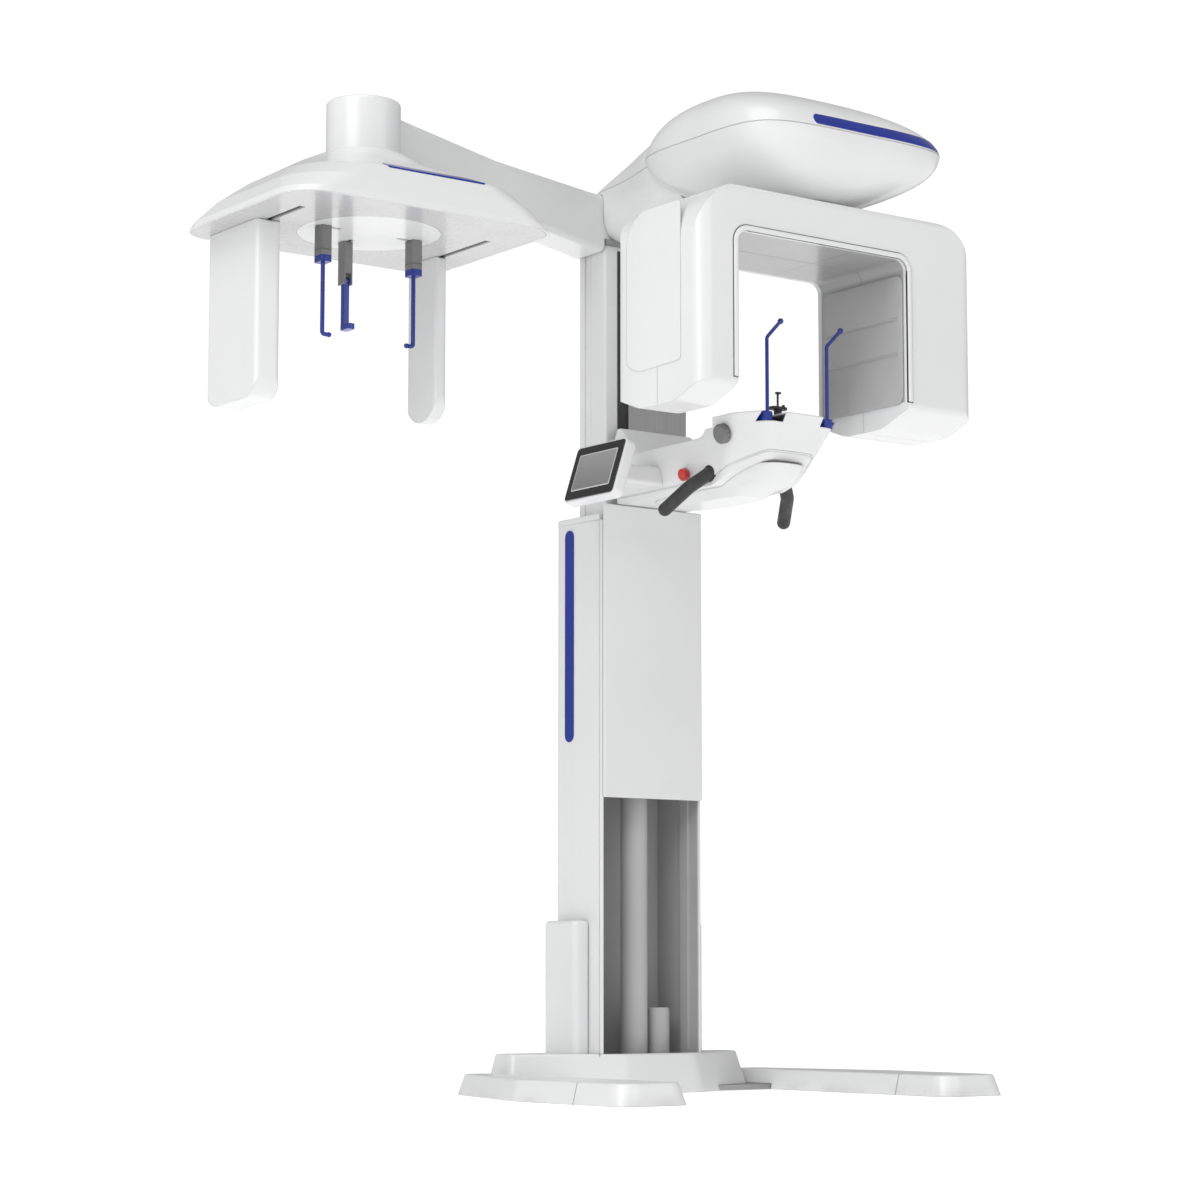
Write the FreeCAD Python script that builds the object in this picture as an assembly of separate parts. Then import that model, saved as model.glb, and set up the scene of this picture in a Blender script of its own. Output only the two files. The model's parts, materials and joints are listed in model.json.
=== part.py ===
import FreeCAD, Part
import math
import os
from FreeCAD import Vector as V

# Panoramic x-ray machine with a cephalometric arm, in millimetres.
# Origin: centre of the column on the floor. +Z is up, the patient stands on the -Y side and faces +Y,
# and the cephalometric arm reaches out to -X.

# ---------------------------------------------------------------- clearances and walls
RUN = 0.05            # radial clearance of a shaft that turns or slides in its bore
GAP = 0.3             # air between faces that move past each other
SHELL = 4.0           # wall of the moulded covers
SHEET = 3.0           # wall of the small covers
SEAM = 0.8            # open joint between two visible covers

# ---------------------------------------------------------------- driving sizes: floor stand
LEG_INNER_X = 345.0
LEG_OUTER_X = 535.0
LEG_FRONT_Y = -712.0
LEG_REAR_Y = 44.0
LEG_REAR_X = 430.0    # outer side at the rear end; the leg widens from here
LEG_WIDE_Y = -330.0   # the leg has its full width in front of this line
LEG_H = 46.0
LEG_DRAFT = 12.0
LEG_CORNER = 46.0
BEAM_W = 58.0         # steel tube in each leg
BEAM_SIDE = 28.0      # distance of the tube from the leg's inner side
BEAM_REAR_Y = -64.0
PLATE_T = 12.0
BASE_HALF_X = LEG_INNER_X - 2.0
BASE_REAR_Y = 62.0
PLATE_REAR_Y = 30.0
BASE_FRONT_Y = -158.0
BASE_SIDE_FRONT_Y = -36.0
BASE_BOW_X = 110.0
BASE_H = 88.0
BASE_DRAFT = 20.0

# ---------------------------------------------------------------- driving sizes: column
COL_X = 148.0
COL_FRONT_Y = -112.0
COL_REAR_Y = 60.0
COL_COVER = 4.0
COL_SIDE_T = 8.0
COL_BACK_T = 12.0
COL_BACK_R = 11.8      # rounding of the two rear corners of the back plate
COL_LIP = 6.0         # depth of the front lip that covers the edge of each side profile
COL_FACET = 5.0       # how far the front half of each side leans in
COL_TOP_Z = 1298.0
COL_FACET_Y = -18.0   # the sides lean in from this line to the front
COL_BACK_COVER = 30.0 # the side covers wrap this far round the back
COL_TRIM_H = 14.0
STRIP_W = 33.0
STRIP_Y = 4.0
STRIP_LOW_Z = 794.0
STRIP_HIGH_Z = 1284.0
STRIP_T = 2.0
BRACE_T = 37.0
BRACE_FRONT_Y = -68.0
BRACE_REAR_Y = 55.0
BRACE_TOP_Z = 386.0
WALL_HOLE_R = 4.5
WALL_HOLE_DX = 120.0
WALL_HOLE_DZ = 80.0
WALL_HOLE_Z = 1180.0

# ---------------------------------------------------------------- driving sizes: lift
MAST_X = 120.0
MAST_FRONT_Y = -95.0
MAST_REAR_Y = 8.0
MAST_WALL = 5.0
MAST_LOW_Z = 690.0
MAST_TOP_Z = 1945.0
GROOVE_FRONT_Y = -40.0
GROOVE_REAR_Y = -16.0
GROOVE_DEPTH = 3.0
PANEL_X = 140.0
PANEL_LOW_Z = 663.0
PANEL_TOP_Z = 1334.0
PANEL_FRONT_Y = -122.0
PANEL_T = 8.0
ROD_R = 20.0
ACTUATOR_R = 31.0
ACTUATOR_TOP_Z = 760.0
ROD_LOW_Z = 600.0
CROSSBAR_Z = 1300.0
GLIDE_FRONT_Y = -76.0
GLIDE_REAR_Y = -46.0
GLIDE_TOP_Z = 1110.0  # lower edge of the upper pair of glide pads
GLIDE_H = 80.0
PANEL_FEET_Z = (723.0, 963.0, 1244.0)
SLOT_LEFT_X = -84.0   # cable slot in the mast's front, beside the light profile
SLOT_RIGHT_X = -55.0
PROFILE_RIGHT_X = 113.0
PROFILE_T = 4.0
RAIL_T = 6.0

# ---------------------------------------------------------------- driving sizes: canopy and boom
AXIS_Y = -640.0       # the gantry turns about the vertical line x = 0, y = AXIS_Y
CANOPY_BOTTOM_Z = 1935.0
CANOPY_SEAM_Z = 2072.0
CANOPY_X = 50.0       # centre and half sizes of the canopy at its widest
CANOPY_Y = -570.0
CANOPY_HALF_X = 285.0
CANOPY_HALF_Y = 245.0
CANOPY_TOP_Z = 2192.0
BOOM_X = 60.0
BOOM_Z = 1985.0
BOOM_H = 66.0
SLIDE_TRAVEL = 25.0   # the gantry's axis can move this far towards the column and away from it
HUB_R = 30.0
HUB_COLLAR_R = 34.5
TURNTABLE_R = 96.0
PULLEY_R = 55.0
PINION_R = 10.0
MOTOR_X = -95.0
MOTOR_HALF = 26.0
MOTOR_H = 62.0
RAIL_X = 45.0         # the two rails under the boom
RAIL_H = 8.0
SLIDE_HALF_Y = 70.0
SLIDE_Z = 1956.0
SLIDE_T = 10.0
BELT_T = 2.0

# ---------------------------------------------------------------- driving sizes: gantry
GAN_X = 385.0
GAN_FRONT_Y = -790.0
GAN_REAR_Y = -490.0
GAN_TOP_Z = 1920.0
GAN_LOW_Z = 1456.0
GAN_EDGE_LIFT = 34.0  # the bottom of each arm rises this much towards its front and rear edge
GAN_TOP_R = 112.0
WIN_LEFT_X = -286.0
WIN_RIGHT_X = 190.0
WIN_TOP_Z = 1820.0
WIN_R = 26.0
GAN_BEAM_H = 40.0
GAN_BEAM_X = 350.0
GAN_BEAM_HALF_Y = 60.0
TANK_LOW_Z = 1560.0   # x-ray tube head in the left arm, with its collimator facing the window
TANK_HALF_Y = 100.0
PORT_LOW_Z = 1600.0
PORT_TOP_Z = 1740.0
PORT_SLOT_X = 4.0
DETECTOR_LOW_Z = 1530.0
DETECTOR_T = 46.0
DETECTOR_BOX_T = 100.0
DETECTOR_BOX_LOW_Z = 1580.0
FACE_LOW_Z = 1512.0   # ribbed face in front of the detector
FACE_TOP_Z = 1760.0
FACE_HALF_Y = 112.0
FACE_T = 3.0
FACE_GROOVES_Z = (1610.0, 1690.0)
# outline of the cover on the tube side: y, z, corner radius
TUBE_COVER = ((-723, 1541, 10), (-723, 1884, 12), (-534, 1884, 74), (-534, 1552, 26), (-580, 1536, 40))
TUBE_COVER_T = 2.0

# ---------------------------------------------------------------- driving sizes: patient support
SUP_REAR_Y = -116.0
SUP_RISE_Y = -468.0   # the top rises from the arm to the head in front of this line
SUP_RISE_RUN = 44.0
SUP_LOW_Z = 1350.0
SUP_ARM_Z = 1437.0
SUP_HEAD_Z = 1474.0
SEAT_DEPTH = 20.0     # the temple supports' feet stand this far below the top of the head
SADDLE_Z = 1510.0     # top of the sloping saddle between the arm and the mast
SADDLE_FRONT_Y = -236.0   # outside the sweep of the turning gantry
# plan of the support at two heights: half width, y where the sides round in, half width and y of the nose
SUP_FOOT = (1330.0, 100.0, -505.0, 44.0, -573.0)
SUP_TOP = (1478.0, 142.0, -596.0, 96.0, -670.0)
SUP_NOSE_END = SUP_TOP[4] - 30
GROOVE_H = 3.0        # shadow joint between the support's shell and the tray
TRAY_T = 12.0
TRAY_RIM = 6.0
BOWL_Y = -370.0
# the bowl under the tray: depth below the tray's rear part, half width, half length
BOWL_ROWS = ((-35.0, 86.0, 246.0), (0.0, 80.0, 204.0), (11.0, 68.0, 172.0), (23.0, 48.0, 120.0))
CHIN_Y = -573.0
CHIN_Z = 1498.0
BITE_TOP_Z = 1537.0
BUTTON_X = 40.0
BUTTON_Y = -530.0
TEMPLE_X = 85.0
TEMPLE_Y = AXIS_Y
TEMPLE_TOP_Z = 1639.0
FOOT_HALF_X = 13.0    # half width of a temple support's foot
FOOT_FRONT_Y = 6.0    # the foot reaches this far in front of its rod, and further behind it
FOOT_REAR_Y = 28.0
STEM_BACK = 18.0      # distance of the foot's stem behind the rod
TEMPLE_ROD_R = 4.0
TEMPLE_OUT = 6.0
TEMPLE_IN = 18.0
KNOB_R = 22.0
KNOB_Y = -548.0
KNOB_Z = 1436.0
STOP_Y = -394.0
STOP_Z = 1369.0
STOP_R = 14.0
STOP_TRAVEL = 4.0
KNOB_T = 16.0
KNOB_FLUTES = 12
BEZEL_T = 4.0         # raised ring round the emergency stop
CONTROL_BORE_R = 7.0  # bores of the knob's spindle and of the stop's plunger
BUTTON_R = 9.0
BUTTON_BORE_R = 6.0
GRIP_R = 15.0
HANDLE_PATH = (V(45, -507, 1364), V(95, -475, 1371), V(140, -436, 1331), V(170, -386, 1284))
SCREEN_W = 178.0
SCREEN_H = 128.0
SCREEN_TILT = 18.0
SCREEN_AT = V(-272.0, -265.0, 1378.0)

# ---------------------------------------------------------------- driving sizes: cephalometric unit
CEPH_X = -930.0
CEPH_Y = -363.0
HOOD_LEFT_X = -1250.0
HOOD_RIGHT_X = -612.0
HOOD_FRONT_Y = -612.0
HOOD_REAR_Y = -118.0
HOOD_CORNER = 70.0
HOOD_LOW_Z = 1800.0
HOOD_TOP_Z = 1960.0
UNDERPLATE_T = 6.0
KNUCKLE_X = -946.0    # the knuckle stands a little outside the head's centre
KNUCKLE_R = 78.0
KNUCKLE_TOP_Z = 2076.0
DISC_R = 150.0
DISC_T = 9.0
SENSOR_X = -1160.0
SENSOR_T = 58.0
SENSOR_W = 206.0
SENSOR_Y = -246.0
SENSOR_H = 368.0
COLLIM_X = -694.0
COLLIM_T = 30.0
COLLIM_W = 114.0
COLLIM_Y = -224.0
COLLIM_H = 356.0
SCAN_FORWARD = 200.0  # travel of sensor and collimator towards -Y from the pose shown
SCAN_BACK = 30.0
EAR_X = 111.0
EAR_OUT = 12.0
EAR_IN = 35.0
EAR_HOLDER_H = 76.0
EAR_ROD_H = 150.0
EAR_ROD_R = 4.5
NASION_Y = 93.0
NASION_TRAVEL = 20.0
NASION_HOLDER_H = 92.0
NASION_ROD_H = 94.0

# the canopy's neck: y, centre height, half width, half height
NECK_ROWS = (
    (34.0, 1998.0, 108.0, 42.0),
    (-10.0, 2012.0, 124.0, 62.0),
    (-130.0, 2036.0, 132.0, 88.0),
    (-240.0, 2052.0, 150.0, 98.0),
    (-420.0, 2056.0, 166.0, 98.0),
)
# the hood: height, then how far its left, right, front and rear sides lie inside the rim
HOOD_ROWS = (
    (1800.0, 0.0, 0.0, 0.0, 0.0),
    (1815.0, 4.0, 2.0, 2.0, 3.0),
    (1850.0, 30.0, 18.0, 12.0, 20.0),
    (1884.0, 72.0, 46.0, 30.0, 42.0),
    (1904.0, 108.0, 92.0, 74.0, 64.0),
    (1934.0, 160.0, 180.0, 142.0, 112.0),
    (1960.0, 216.0, 244.0, 162.0, 158.0),
)

NODES = {}


# ---------------------------------------------------------------- helpers
def add(name, *solids):
    """Keeps one node: a single solid, or a group of separate solids."""
    NODES[name] = solids[0] if len(solids) == 1 else Part.makeCompound(list(solids))


def box(x0, x1, y0, y1, z0, z1):
    low = V(min(x0, x1), min(y0, y1), min(z0, z1))
    return Part.makeBox(abs(x1 - x0), abs(y1 - y0), abs(z1 - z0), low)


def cyl(r, x, y, z0, z1):
    return Part.makeCylinder(r, z1 - z0, V(x, y, z0))


def cyl_x(r, x0, x1, y, z):
    return Part.makeCylinder(r, abs(x1 - x0), V(min(x0, x1), y, z), V(1, 0, 0))


def cyl_y(r, x, y0, y1, z):
    return Part.makeCylinder(r, abs(y1 - y0), V(x, min(y0, y1), z), V(0, 1, 0))


def place(plane, u, v, w):
    """A point given in a plane (XY, XZ or YZ) at depth w along the plane's normal."""
    if plane == "XY":
        return V(u, v, w)
    if plane == "XZ":
        return V(u, w, v)
    return V(w, u, v)


def outline(points, plane, w):
    """Closed wire through (u, v, radius) corners; each corner is rounded by its radius."""
    count = len(points)
    ends = []
    for i in range(count):
        u, v, r = points[i]
        here = V(u, v, 0)
        back = V(*points[i - 1][:2], 0) - here
        ahead = V(*points[(i + 1) % count][:2], 0) - here
        back.normalize()
        ahead.normalize()
        half = back.getAngle(ahead) / 2
        if r <= 0:
            ends.append((here, None, here))
            continue
        reach = r / math.tan(half)
        middle = back + ahead
        middle.normalize()
        centre = here + middle * (r / math.sin(half))
        ends.append((here + back * reach, centre - middle * r, here + ahead * reach))
    edges = []
    for i in range(count):
        start, mid, stop = ends[i]
        if mid is not None:
            arc = [place(plane, p.x, p.y, w) for p in (start, mid, stop)]
            edges.append(Part.Arc(*arc).toShape())
        follow = ends[(i + 1) % count][0]
        if stop.distanceToPoint(follow) > 0.001:
            line = [place(plane, p.x, p.y, w) for p in (stop, follow)]
            edges.append(Part.LineSegment(*line).toShape())
    return Part.Wire(edges)


def prism(points, plane, w0, w1):
    """Outline extruded along the plane's normal from w0 to w1."""
    face = Part.Face(outline(points, plane, w0))
    return face.extrude(place(plane, 0, 0, w1 - w0))


def mirrored(solid):
    """The same piece on the other side of the column's middle plane x = 0."""
    return solid.mirror(V(0, 0, 0), V(1, 0, 0))


def rounded_box(x0, x1, y0, y1, z0, z1, r, plane="XY"):
    """A block whose four edges along the plane's normal are rounded."""
    spans = {"XY": (x0, x1, y0, y1, z0, z1), "XZ": (x0, x1, z0, z1, y0, y1), "YZ": (y0, y1, z0, z1, x0, x1)}
    u0, u1, v0, v1, w0, w1 = spans[plane]
    corners = [(u0, v0, r), (u1, v0, r), (u1, v1, r), (u0, v1, r)]
    return prism(corners, plane, w0, w1)


def fillet_at(solid, axis, value, r, tol=0.01):
    """Rounds every edge that lies wholly in the plane where the axis has the value."""
    picked = []
    for edge in solid.Edges:
        spots = [edge.valueAt(edge.FirstParameter), edge.valueAt(edge.LastParameter)]
        spots.append(edge.valueAt((edge.FirstParameter + edge.LastParameter) / 2))
        if all(abs(getattr(p, axis) - value) < tol for p in spots):
            picked.append(edge)
    return solid.makeFillet(r, picked)


def oval(cx, cy, a, b, power, plane, w, steps=24):
    """Closed smooth wire: a rounded rectangle of half sizes a and b (power 2 is an ellipse)."""
    spots = []
    for i in range(steps):
        t = 2 * math.pi * i / steps
        c, s = math.cos(t), math.sin(t)
        u = cx + a * math.copysign(abs(c) ** (2 / power), c)
        v = cy + b * math.copysign(abs(s) ** (2 / power), s)
        spots.append(place(plane, u, v, w))
    curve = Part.BSplineCurve()
    curve.interpolate(spots, PeriodicFlag=True)
    return Part.Wire([curve.toShape()])


def loft(wires, ruled=False):
    return Part.makeLoft(wires, True, ruled)


def tube_along(points, radius, corner):
    """Round bar along straight runs joined by arcs of the corner radius."""
    edges = []
    start = points[0]
    for i in range(1, len(points) - 1):
        here = points[i]
        back = (points[i - 1] - here).normalize()
        ahead = (points[i + 1] - here).normalize()
        half = back.getAngle(ahead) / 2
        reach = corner / math.tan(half)
        middle = (back + ahead).normalize()
        touch = here + back * reach
        leave = here + ahead * reach
        crown = here + middle * (corner / math.sin(half) - corner)
        edges.append(Part.LineSegment(start, touch).toShape())
        edges.append(Part.Arc(touch, crown, leave).toShape())
        start = leave
    edges.append(Part.LineSegment(start, points[-1]).toShape())
    path = Part.Wire(edges)
    direction = points[1] - points[0]
    ring = Part.Wire([Part.Circle(points[0], direction, radius).toShape()])
    return path.makePipeShell([ring], True, False)


# ---------------------------------------------------------------- floor stand
def leg_outline(inset, z):
    r = LEG_CORNER
    x0, x1 = LEG_INNER_X + inset, LEG_OUTER_X - inset
    y0, y1 = LEG_FRONT_Y + inset, LEG_REAR_Y - inset
    x2 = LEG_REAR_X - inset
    return outline([(x0, y0, r), (x1, y0, r), (x1, LEG_WIDE_Y, 2 * r), (x2, y1, r / 2), (x0, y1, r / 2)], "XY", z)


def make_legs():
    """Each leg: a steel tube on the floor under a drafted painted cover."""
    outer = loft([leg_outline(0, 0), leg_outline(LEG_DRAFT, LEG_H)], ruled=True)
    outer = fillet_at(outer, "z", LEG_H, 5)
    inner = loft([leg_outline(SHELL, -1), leg_outline(LEG_DRAFT + SHELL, LEG_H - SHELL)], ruled=True)
    passage = box(0, LEG_INNER_X + BEAM_SIDE, COL_FRONT_Y - SEAM, PLATE_REAR_Y + SEAM, -1, PLATE_T + SEAM)
    cover = outer.cut(inner).cut(passage)
    x0, x1 = LEG_INNER_X + BEAM_SIDE, LEG_INNER_X + BEAM_SIDE + BEAM_W
    y0, y1 = LEG_FRONT_Y + LEG_CORNER, BEAM_REAR_Y
    top = LEG_H - SHELL
    beam = box(x0, x1, y0, y1, 0, top)
    beam = beam.cut(box(x0 + SHELL, x1 - SHELL, y0 - 1, y1 + 1, SHELL, top - SHELL))
    add("leg_covers", cover, mirrored(cover))
    add("leg_beams", beam, mirrored(beam))


def base_outline(inset, z):
    x, bow = BASE_HALF_X - inset, BASE_BOW_X - inset / 2
    front, side, rear = BASE_FRONT_Y + inset, BASE_SIDE_FRONT_Y + inset, BASE_REAR_Y - inset / 2
    points = [(-x, side, 22), (-bow, front, 60), (bow, front, 60), (x, side, 22), (x, rear, 12), (-x, rear, 12)]
    return outline(points, "XY", z)


def make_base():
    reach = LEG_INNER_X + BEAM_SIDE
    plate = box(-reach, reach, COL_FRONT_Y, PLATE_REAR_Y, 0, PLATE_T)
    outer = loft([base_outline(0, 0), base_outline(BASE_DRAFT, BASE_H)], ruled=True)
    outer = fillet_at(outer, "z", BASE_H, 6)
    inner = loft([base_outline(SHELL, -1), base_outline(BASE_DRAFT + SHELL, BASE_H - SHELL)], ruled=True)
    hole = box(-COL_X - SEAM, COL_X + SEAM, COL_FRONT_Y - SEAM, BASE_REAR_Y + 1, -1, BASE_H + 1)
    sides = box(-BASE_HALF_X - 1, BASE_HALF_X + 1, COL_FRONT_Y - SEAM, PLATE_REAR_Y + SEAM, -1, PLATE_T)
    brace = brace_block(SEAM)
    cover = outer.cut(inner).cut(hole).cut(sides).cut(brace).cut(mirrored(brace))
    add("base_cover", cover)
    add("base_plate", plate)


def brace_block(extra=0.0):
    """Buttress on the right side of the column's foot, grown by extra on every side."""
    r = 14
    x0, x1 = COL_X - extra, COL_X + BRACE_T + extra
    y0, y1 = BRACE_FRONT_Y - extra, BRACE_REAR_Y + extra
    corners = [(x0, y0, 0), (x1, y0, r), (x1, y1, r), (x0, y1, 0)]
    solid = prism(corners, "XY", PLATE_T if extra == 0 else 0, BRACE_TOP_Z)
    return solid if extra else fillet_at(solid, "z", BRACE_TOP_Z, 10)


# ---------------------------------------------------------------- fixed column
def cover_outline(wall):
    """Plan of the right side cover: rear corner rounded, a faint facet, and a front lip."""
    x = COL_X
    lip_x = x - COL_COVER - COL_SIDE_T
    out = [
        (x - COL_BACK_COVER, COL_REAR_Y, 0), (x, COL_REAR_Y, COL_BACK_R + COL_COVER), (x, COL_FACET_Y, 0),
        (x - COL_FACET, COL_FRONT_Y, 5),
        (lip_x, COL_FRONT_Y, 1.5), (lip_x, COL_FRONT_Y + COL_LIP, 0),
        (x - COL_COVER - COL_FACET + 4, COL_FRONT_Y + COL_LIP, 0), (x - COL_COVER, COL_FACET_Y, 0),
        (x - COL_COVER, COL_REAR_Y - wall, COL_BACK_R), (x - COL_BACK_COVER, COL_REAR_Y - wall, 0),
    ]
    return out


def make_column():
    side_x = COL_X - COL_COVER
    z0 = PLATE_T
    back_y = COL_REAR_Y - COL_COVER - COL_BACK_T
    back_corner = COL_REAR_Y - COL_COVER
    back = prism([(-side_x, back_y, 0), (side_x, back_y, 0), (side_x, back_corner, COL_BACK_R),
                  (-side_x, back_corner, COL_BACK_R)], "XY", z0, COL_TOP_Z)
    facet_room = COL_FACET - 4
    profile = [
        (side_x - COL_SIDE_T, COL_FRONT_Y + COL_LIP, 0), (side_x - facet_room, COL_FRONT_Y + COL_LIP, 0),
        (side_x, COL_FACET_Y, 0), (side_x, back_y, 0), (side_x - COL_SIDE_T, back_y, 0),
    ]
    side = prism(profile, "XY", z0, COL_TOP_Z)
    cover = prism(cover_outline(COL_COVER), "XY", z0, COL_TOP_Z)
    back_x = COL_X - COL_BACK_COVER
    back_cover = box(-back_x, back_x, COL_REAR_Y - COL_COVER, COL_REAR_Y, z0, COL_TOP_Z)
    for x in (-WALL_HOLE_DX / 2, WALL_HOLE_DX / 2):
        for z in (WALL_HOLE_Z - WALL_HOLE_DZ / 2, WALL_HOLE_Z + WALL_HOLE_DZ / 2):
            drill = cyl_y(WALL_HOLE_R, x, back_y - 1, COL_REAR_Y + 1, z)
            back = back.cut(drill)
            back_cover = back_cover.cut(drill)
    add("column_back_plate", back)
    add("column_back_cover", back_cover)
    low, high, half = STRIP_LOW_Z, STRIP_HIGH_Z, STRIP_W / 2
    strip = rounded_box(COL_X, COL_X + STRIP_T, STRIP_Y - half, STRIP_Y + half, low, high, half - 0.5, "YZ")
    rail = box(side_x - COL_SIDE_T - RAIL_T, side_x - COL_SIDE_T, GLIDE_FRONT_Y, GLIDE_REAR_Y, z0 + 20, COL_TOP_Z - 6)
    brace = brace_block()
    side = side.fuse(rail).removeSplitter()
    for name, piece in (("column_side_profiles", side), ("column_side_covers", cover),
                        ("column_light_strips", strip), ("side_braces", brace)):
        add(name, piece, mirrored(piece))
    add("column_top_trim", make_top_trim())


def make_top_trim():
    """Rounded collar that closes the column round the mast; its front stays open for the support arm."""
    z0, z1 = COL_TOP_Z, COL_TOP_Z + COL_TRIM_H
    front = COL_FRONT_Y + COL_LIP
    r = 14
    corners = [(-COL_X, front, 3), (COL_X, front, 3), (COL_X, COL_REAR_Y, r), (-COL_X, COL_REAR_Y, r)]
    solid = fillet_at(prism(corners, "XY", z0, z1), "z", z1, 2.5)
    mouth_x = MAST_X + 4
    return solid.cut(box(-mouth_x, mouth_x, front - 5, MAST_REAR_Y + 4, z0 - 1, z1 + 1))


# ---------------------------------------------------------------- lift and mast
def make_actuator():
    y = (MAST_FRONT_Y + MAST_REAR_Y) / 2
    inner_x, inner_front, inner_rear = MAST_X - MAST_WALL, MAST_FRONT_Y + MAST_WALL, MAST_REAR_Y - MAST_WALL
    foot_top = PLATE_T + 28
    foot = box(-45, 100, y - 36, y + 36, PLATE_T, foot_top)
    tube = cyl(ACTUATOR_R, 0, y, foot_top, ACTUATOR_TOP_Z)
    tube = tube.cut(cyl(ROD_R + RUN, 0, y, foot_top + 14, ACTUATOR_TOP_Z + 1))
    motor = fillet_at(cyl(27, 68, y, foot_top, foot_top + 150), "z", foot_top + 150, 4)
    add("lift_motor", foot.fuse(motor).removeSplitter())
    add("lift_actuator_tube", tube)
    crossbar = box(-inner_x, inner_x, inner_front, inner_rear, CROSSBAR_Z, CROSSBAR_Z + 16)
    add("lift_actuator_rod", crossbar.fuse(cyl(ROD_R, 0, y, ROD_LOW_Z, CROSSBAR_Z)).removeSplitter())


def make_mast():
    inner_x, inner_front = MAST_X - MAST_WALL, MAST_FRONT_Y + MAST_WALL
    inner_rear = MAST_REAR_Y - MAST_WALL
    mast = rounded_box(-MAST_X, MAST_X, MAST_FRONT_Y, MAST_REAR_Y, MAST_LOW_Z, MAST_TOP_Z, 7)
    mast = mast.cut(box(-inner_x, inner_x, inner_front, inner_rear, MAST_LOW_Z - 1, MAST_TOP_Z + 1))
    for side in (-1, 1):
        groove = box(side * (MAST_X - GROOVE_DEPTH), side * (MAST_X + 1), GROOVE_FRONT_Y, GROOVE_REAR_Y,
                     MAST_LOW_Z - 1, MAST_TOP_Z + 1)
        mast = mast.cut(groove)
    slot_low, slot_high = SUP_ARM_Z + 6, MAST_TOP_Z - 10
    mast = mast.cut(box(SLOT_LEFT_X, SLOT_RIGHT_X, MAST_FRONT_Y - 1, MAST_FRONT_Y + 4, slot_low, slot_high))
    add("mast_tube", mast)
    add("mast_front_profile", box(SLOT_RIGHT_X, PROFILE_RIGHT_X, MAST_FRONT_Y - PROFILE_T, MAST_FRONT_Y, slot_low, slot_high))
    pads = []
    reach = COL_X - COL_COVER - COL_SIDE_T - RAIL_T - GAP
    for side in (-1, 1):
        for z in (MAST_LOW_Z + 20, GLIDE_TOP_Z):
            pads.append(box(side * MAST_X, side * reach, GLIDE_FRONT_Y, GLIDE_REAR_Y + 2, z, z + GLIDE_H))
    add("glide_pads", *pads)
    panel = rounded_box(-PANEL_X, PANEL_X, PANEL_FRONT_Y, PANEL_FRONT_Y + PANEL_T, PANEL_LOW_Z, PANEL_TOP_Z, 4, "XZ")
    panel = fillet_at(panel, "y", PANEL_FRONT_Y, 3)
    for z in PANEL_FEET_Z:
        panel = panel.fuse(box(-100, 100, PANEL_FRONT_Y + PANEL_T, MAST_FRONT_Y, z, z + 40))
    add("front_panel", panel.removeSplitter())


# ---------------------------------------------------------------- boom and canopy
def make_boom():
    head = box(-MAST_X - 4, MAST_X + 4, MAST_FRONT_Y - 8, MAST_REAR_Y + 22, MAST_TOP_Z, MAST_TOP_Z + PLATE_T)
    rear = MAST_REAR_Y
    front = AXIS_Y - 118
    boom = box(-BOOM_X, BOOM_X, front, rear, BOOM_Z, BOOM_Z + BOOM_H)
    boom = boom.cut(box(-BOOM_X + 5, BOOM_X - 5, front - 1, rear + 1, BOOM_Z + 5, BOOM_Z + BOOM_H - 5))
    foot = box(-BOOM_X, BOOM_X, MAST_FRONT_Y, rear, MAST_TOP_Z + PLATE_T, BOOM_Z)
    boom = boom.fuse(foot).fuse(head)
    for x in (-RAIL_X, RAIL_X):
        boom = boom.fuse(box(x - 7, x + 7, AXIS_Y - 112, AXIS_Y + 112, BOOM_Z - RAIL_H, BOOM_Z))
    add("boom_beam", boom.removeSplitter())


def canopy_body(inset):
    """Shallow dome over the gantry with a neck back to the mast, shrunk by inset all round."""
    low, seam, top = CANOPY_BOTTOM_Z + inset, CANOPY_SEAM_Z, CANOPY_TOP_Z - inset
    foot = TURNTABLE_R + 10
    bowl = []
    for share in (0.0, 0.15, 0.4, 0.7, 1.0):
        spread = math.sin(math.pi / 2 * share) ** 0.85
        a = foot + (CANOPY_HALF_X - foot) * spread - inset
        b = foot + (CANOPY_HALF_Y - foot) * spread - inset
        cx = -10 + (CANOPY_X + 10) * spread
        cy = AXIS_Y + 12 + (CANOPY_Y - AXIS_Y - 12) * spread
        bowl.append(oval(cx, cy, a, b, 2.2 + 2.8 * spread, "XY", low + (seam - low) * share))
    lid = []
    for share in (0.0, 0.3, 0.6, 0.85, 1.0):
        shrink = math.sqrt(1 - (0.94 * share) ** 2)
        a, b = (CANOPY_HALF_X - inset) * shrink, (CANOPY_HALF_Y - inset) * shrink
        cx, cy = CANOPY_X - 70 * share ** 2, CANOPY_Y + 40 * share ** 2
        lid.append(oval(cx, cy, a, b, 5.0 - 2.4 * share, "XY", seam + (top - seam) * share))
    neck = []
    for y, cz, a, b in NECK_ROWS:
        shift = -inset if y == NECK_ROWS[0][0] else 0.0
        neck.append(oval(0, cz, a - inset, b - inset, 3.2, "XZ", y + shift))
    return loft(bowl).fuse(loft(lid)).fuse(loft(neck))


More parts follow.
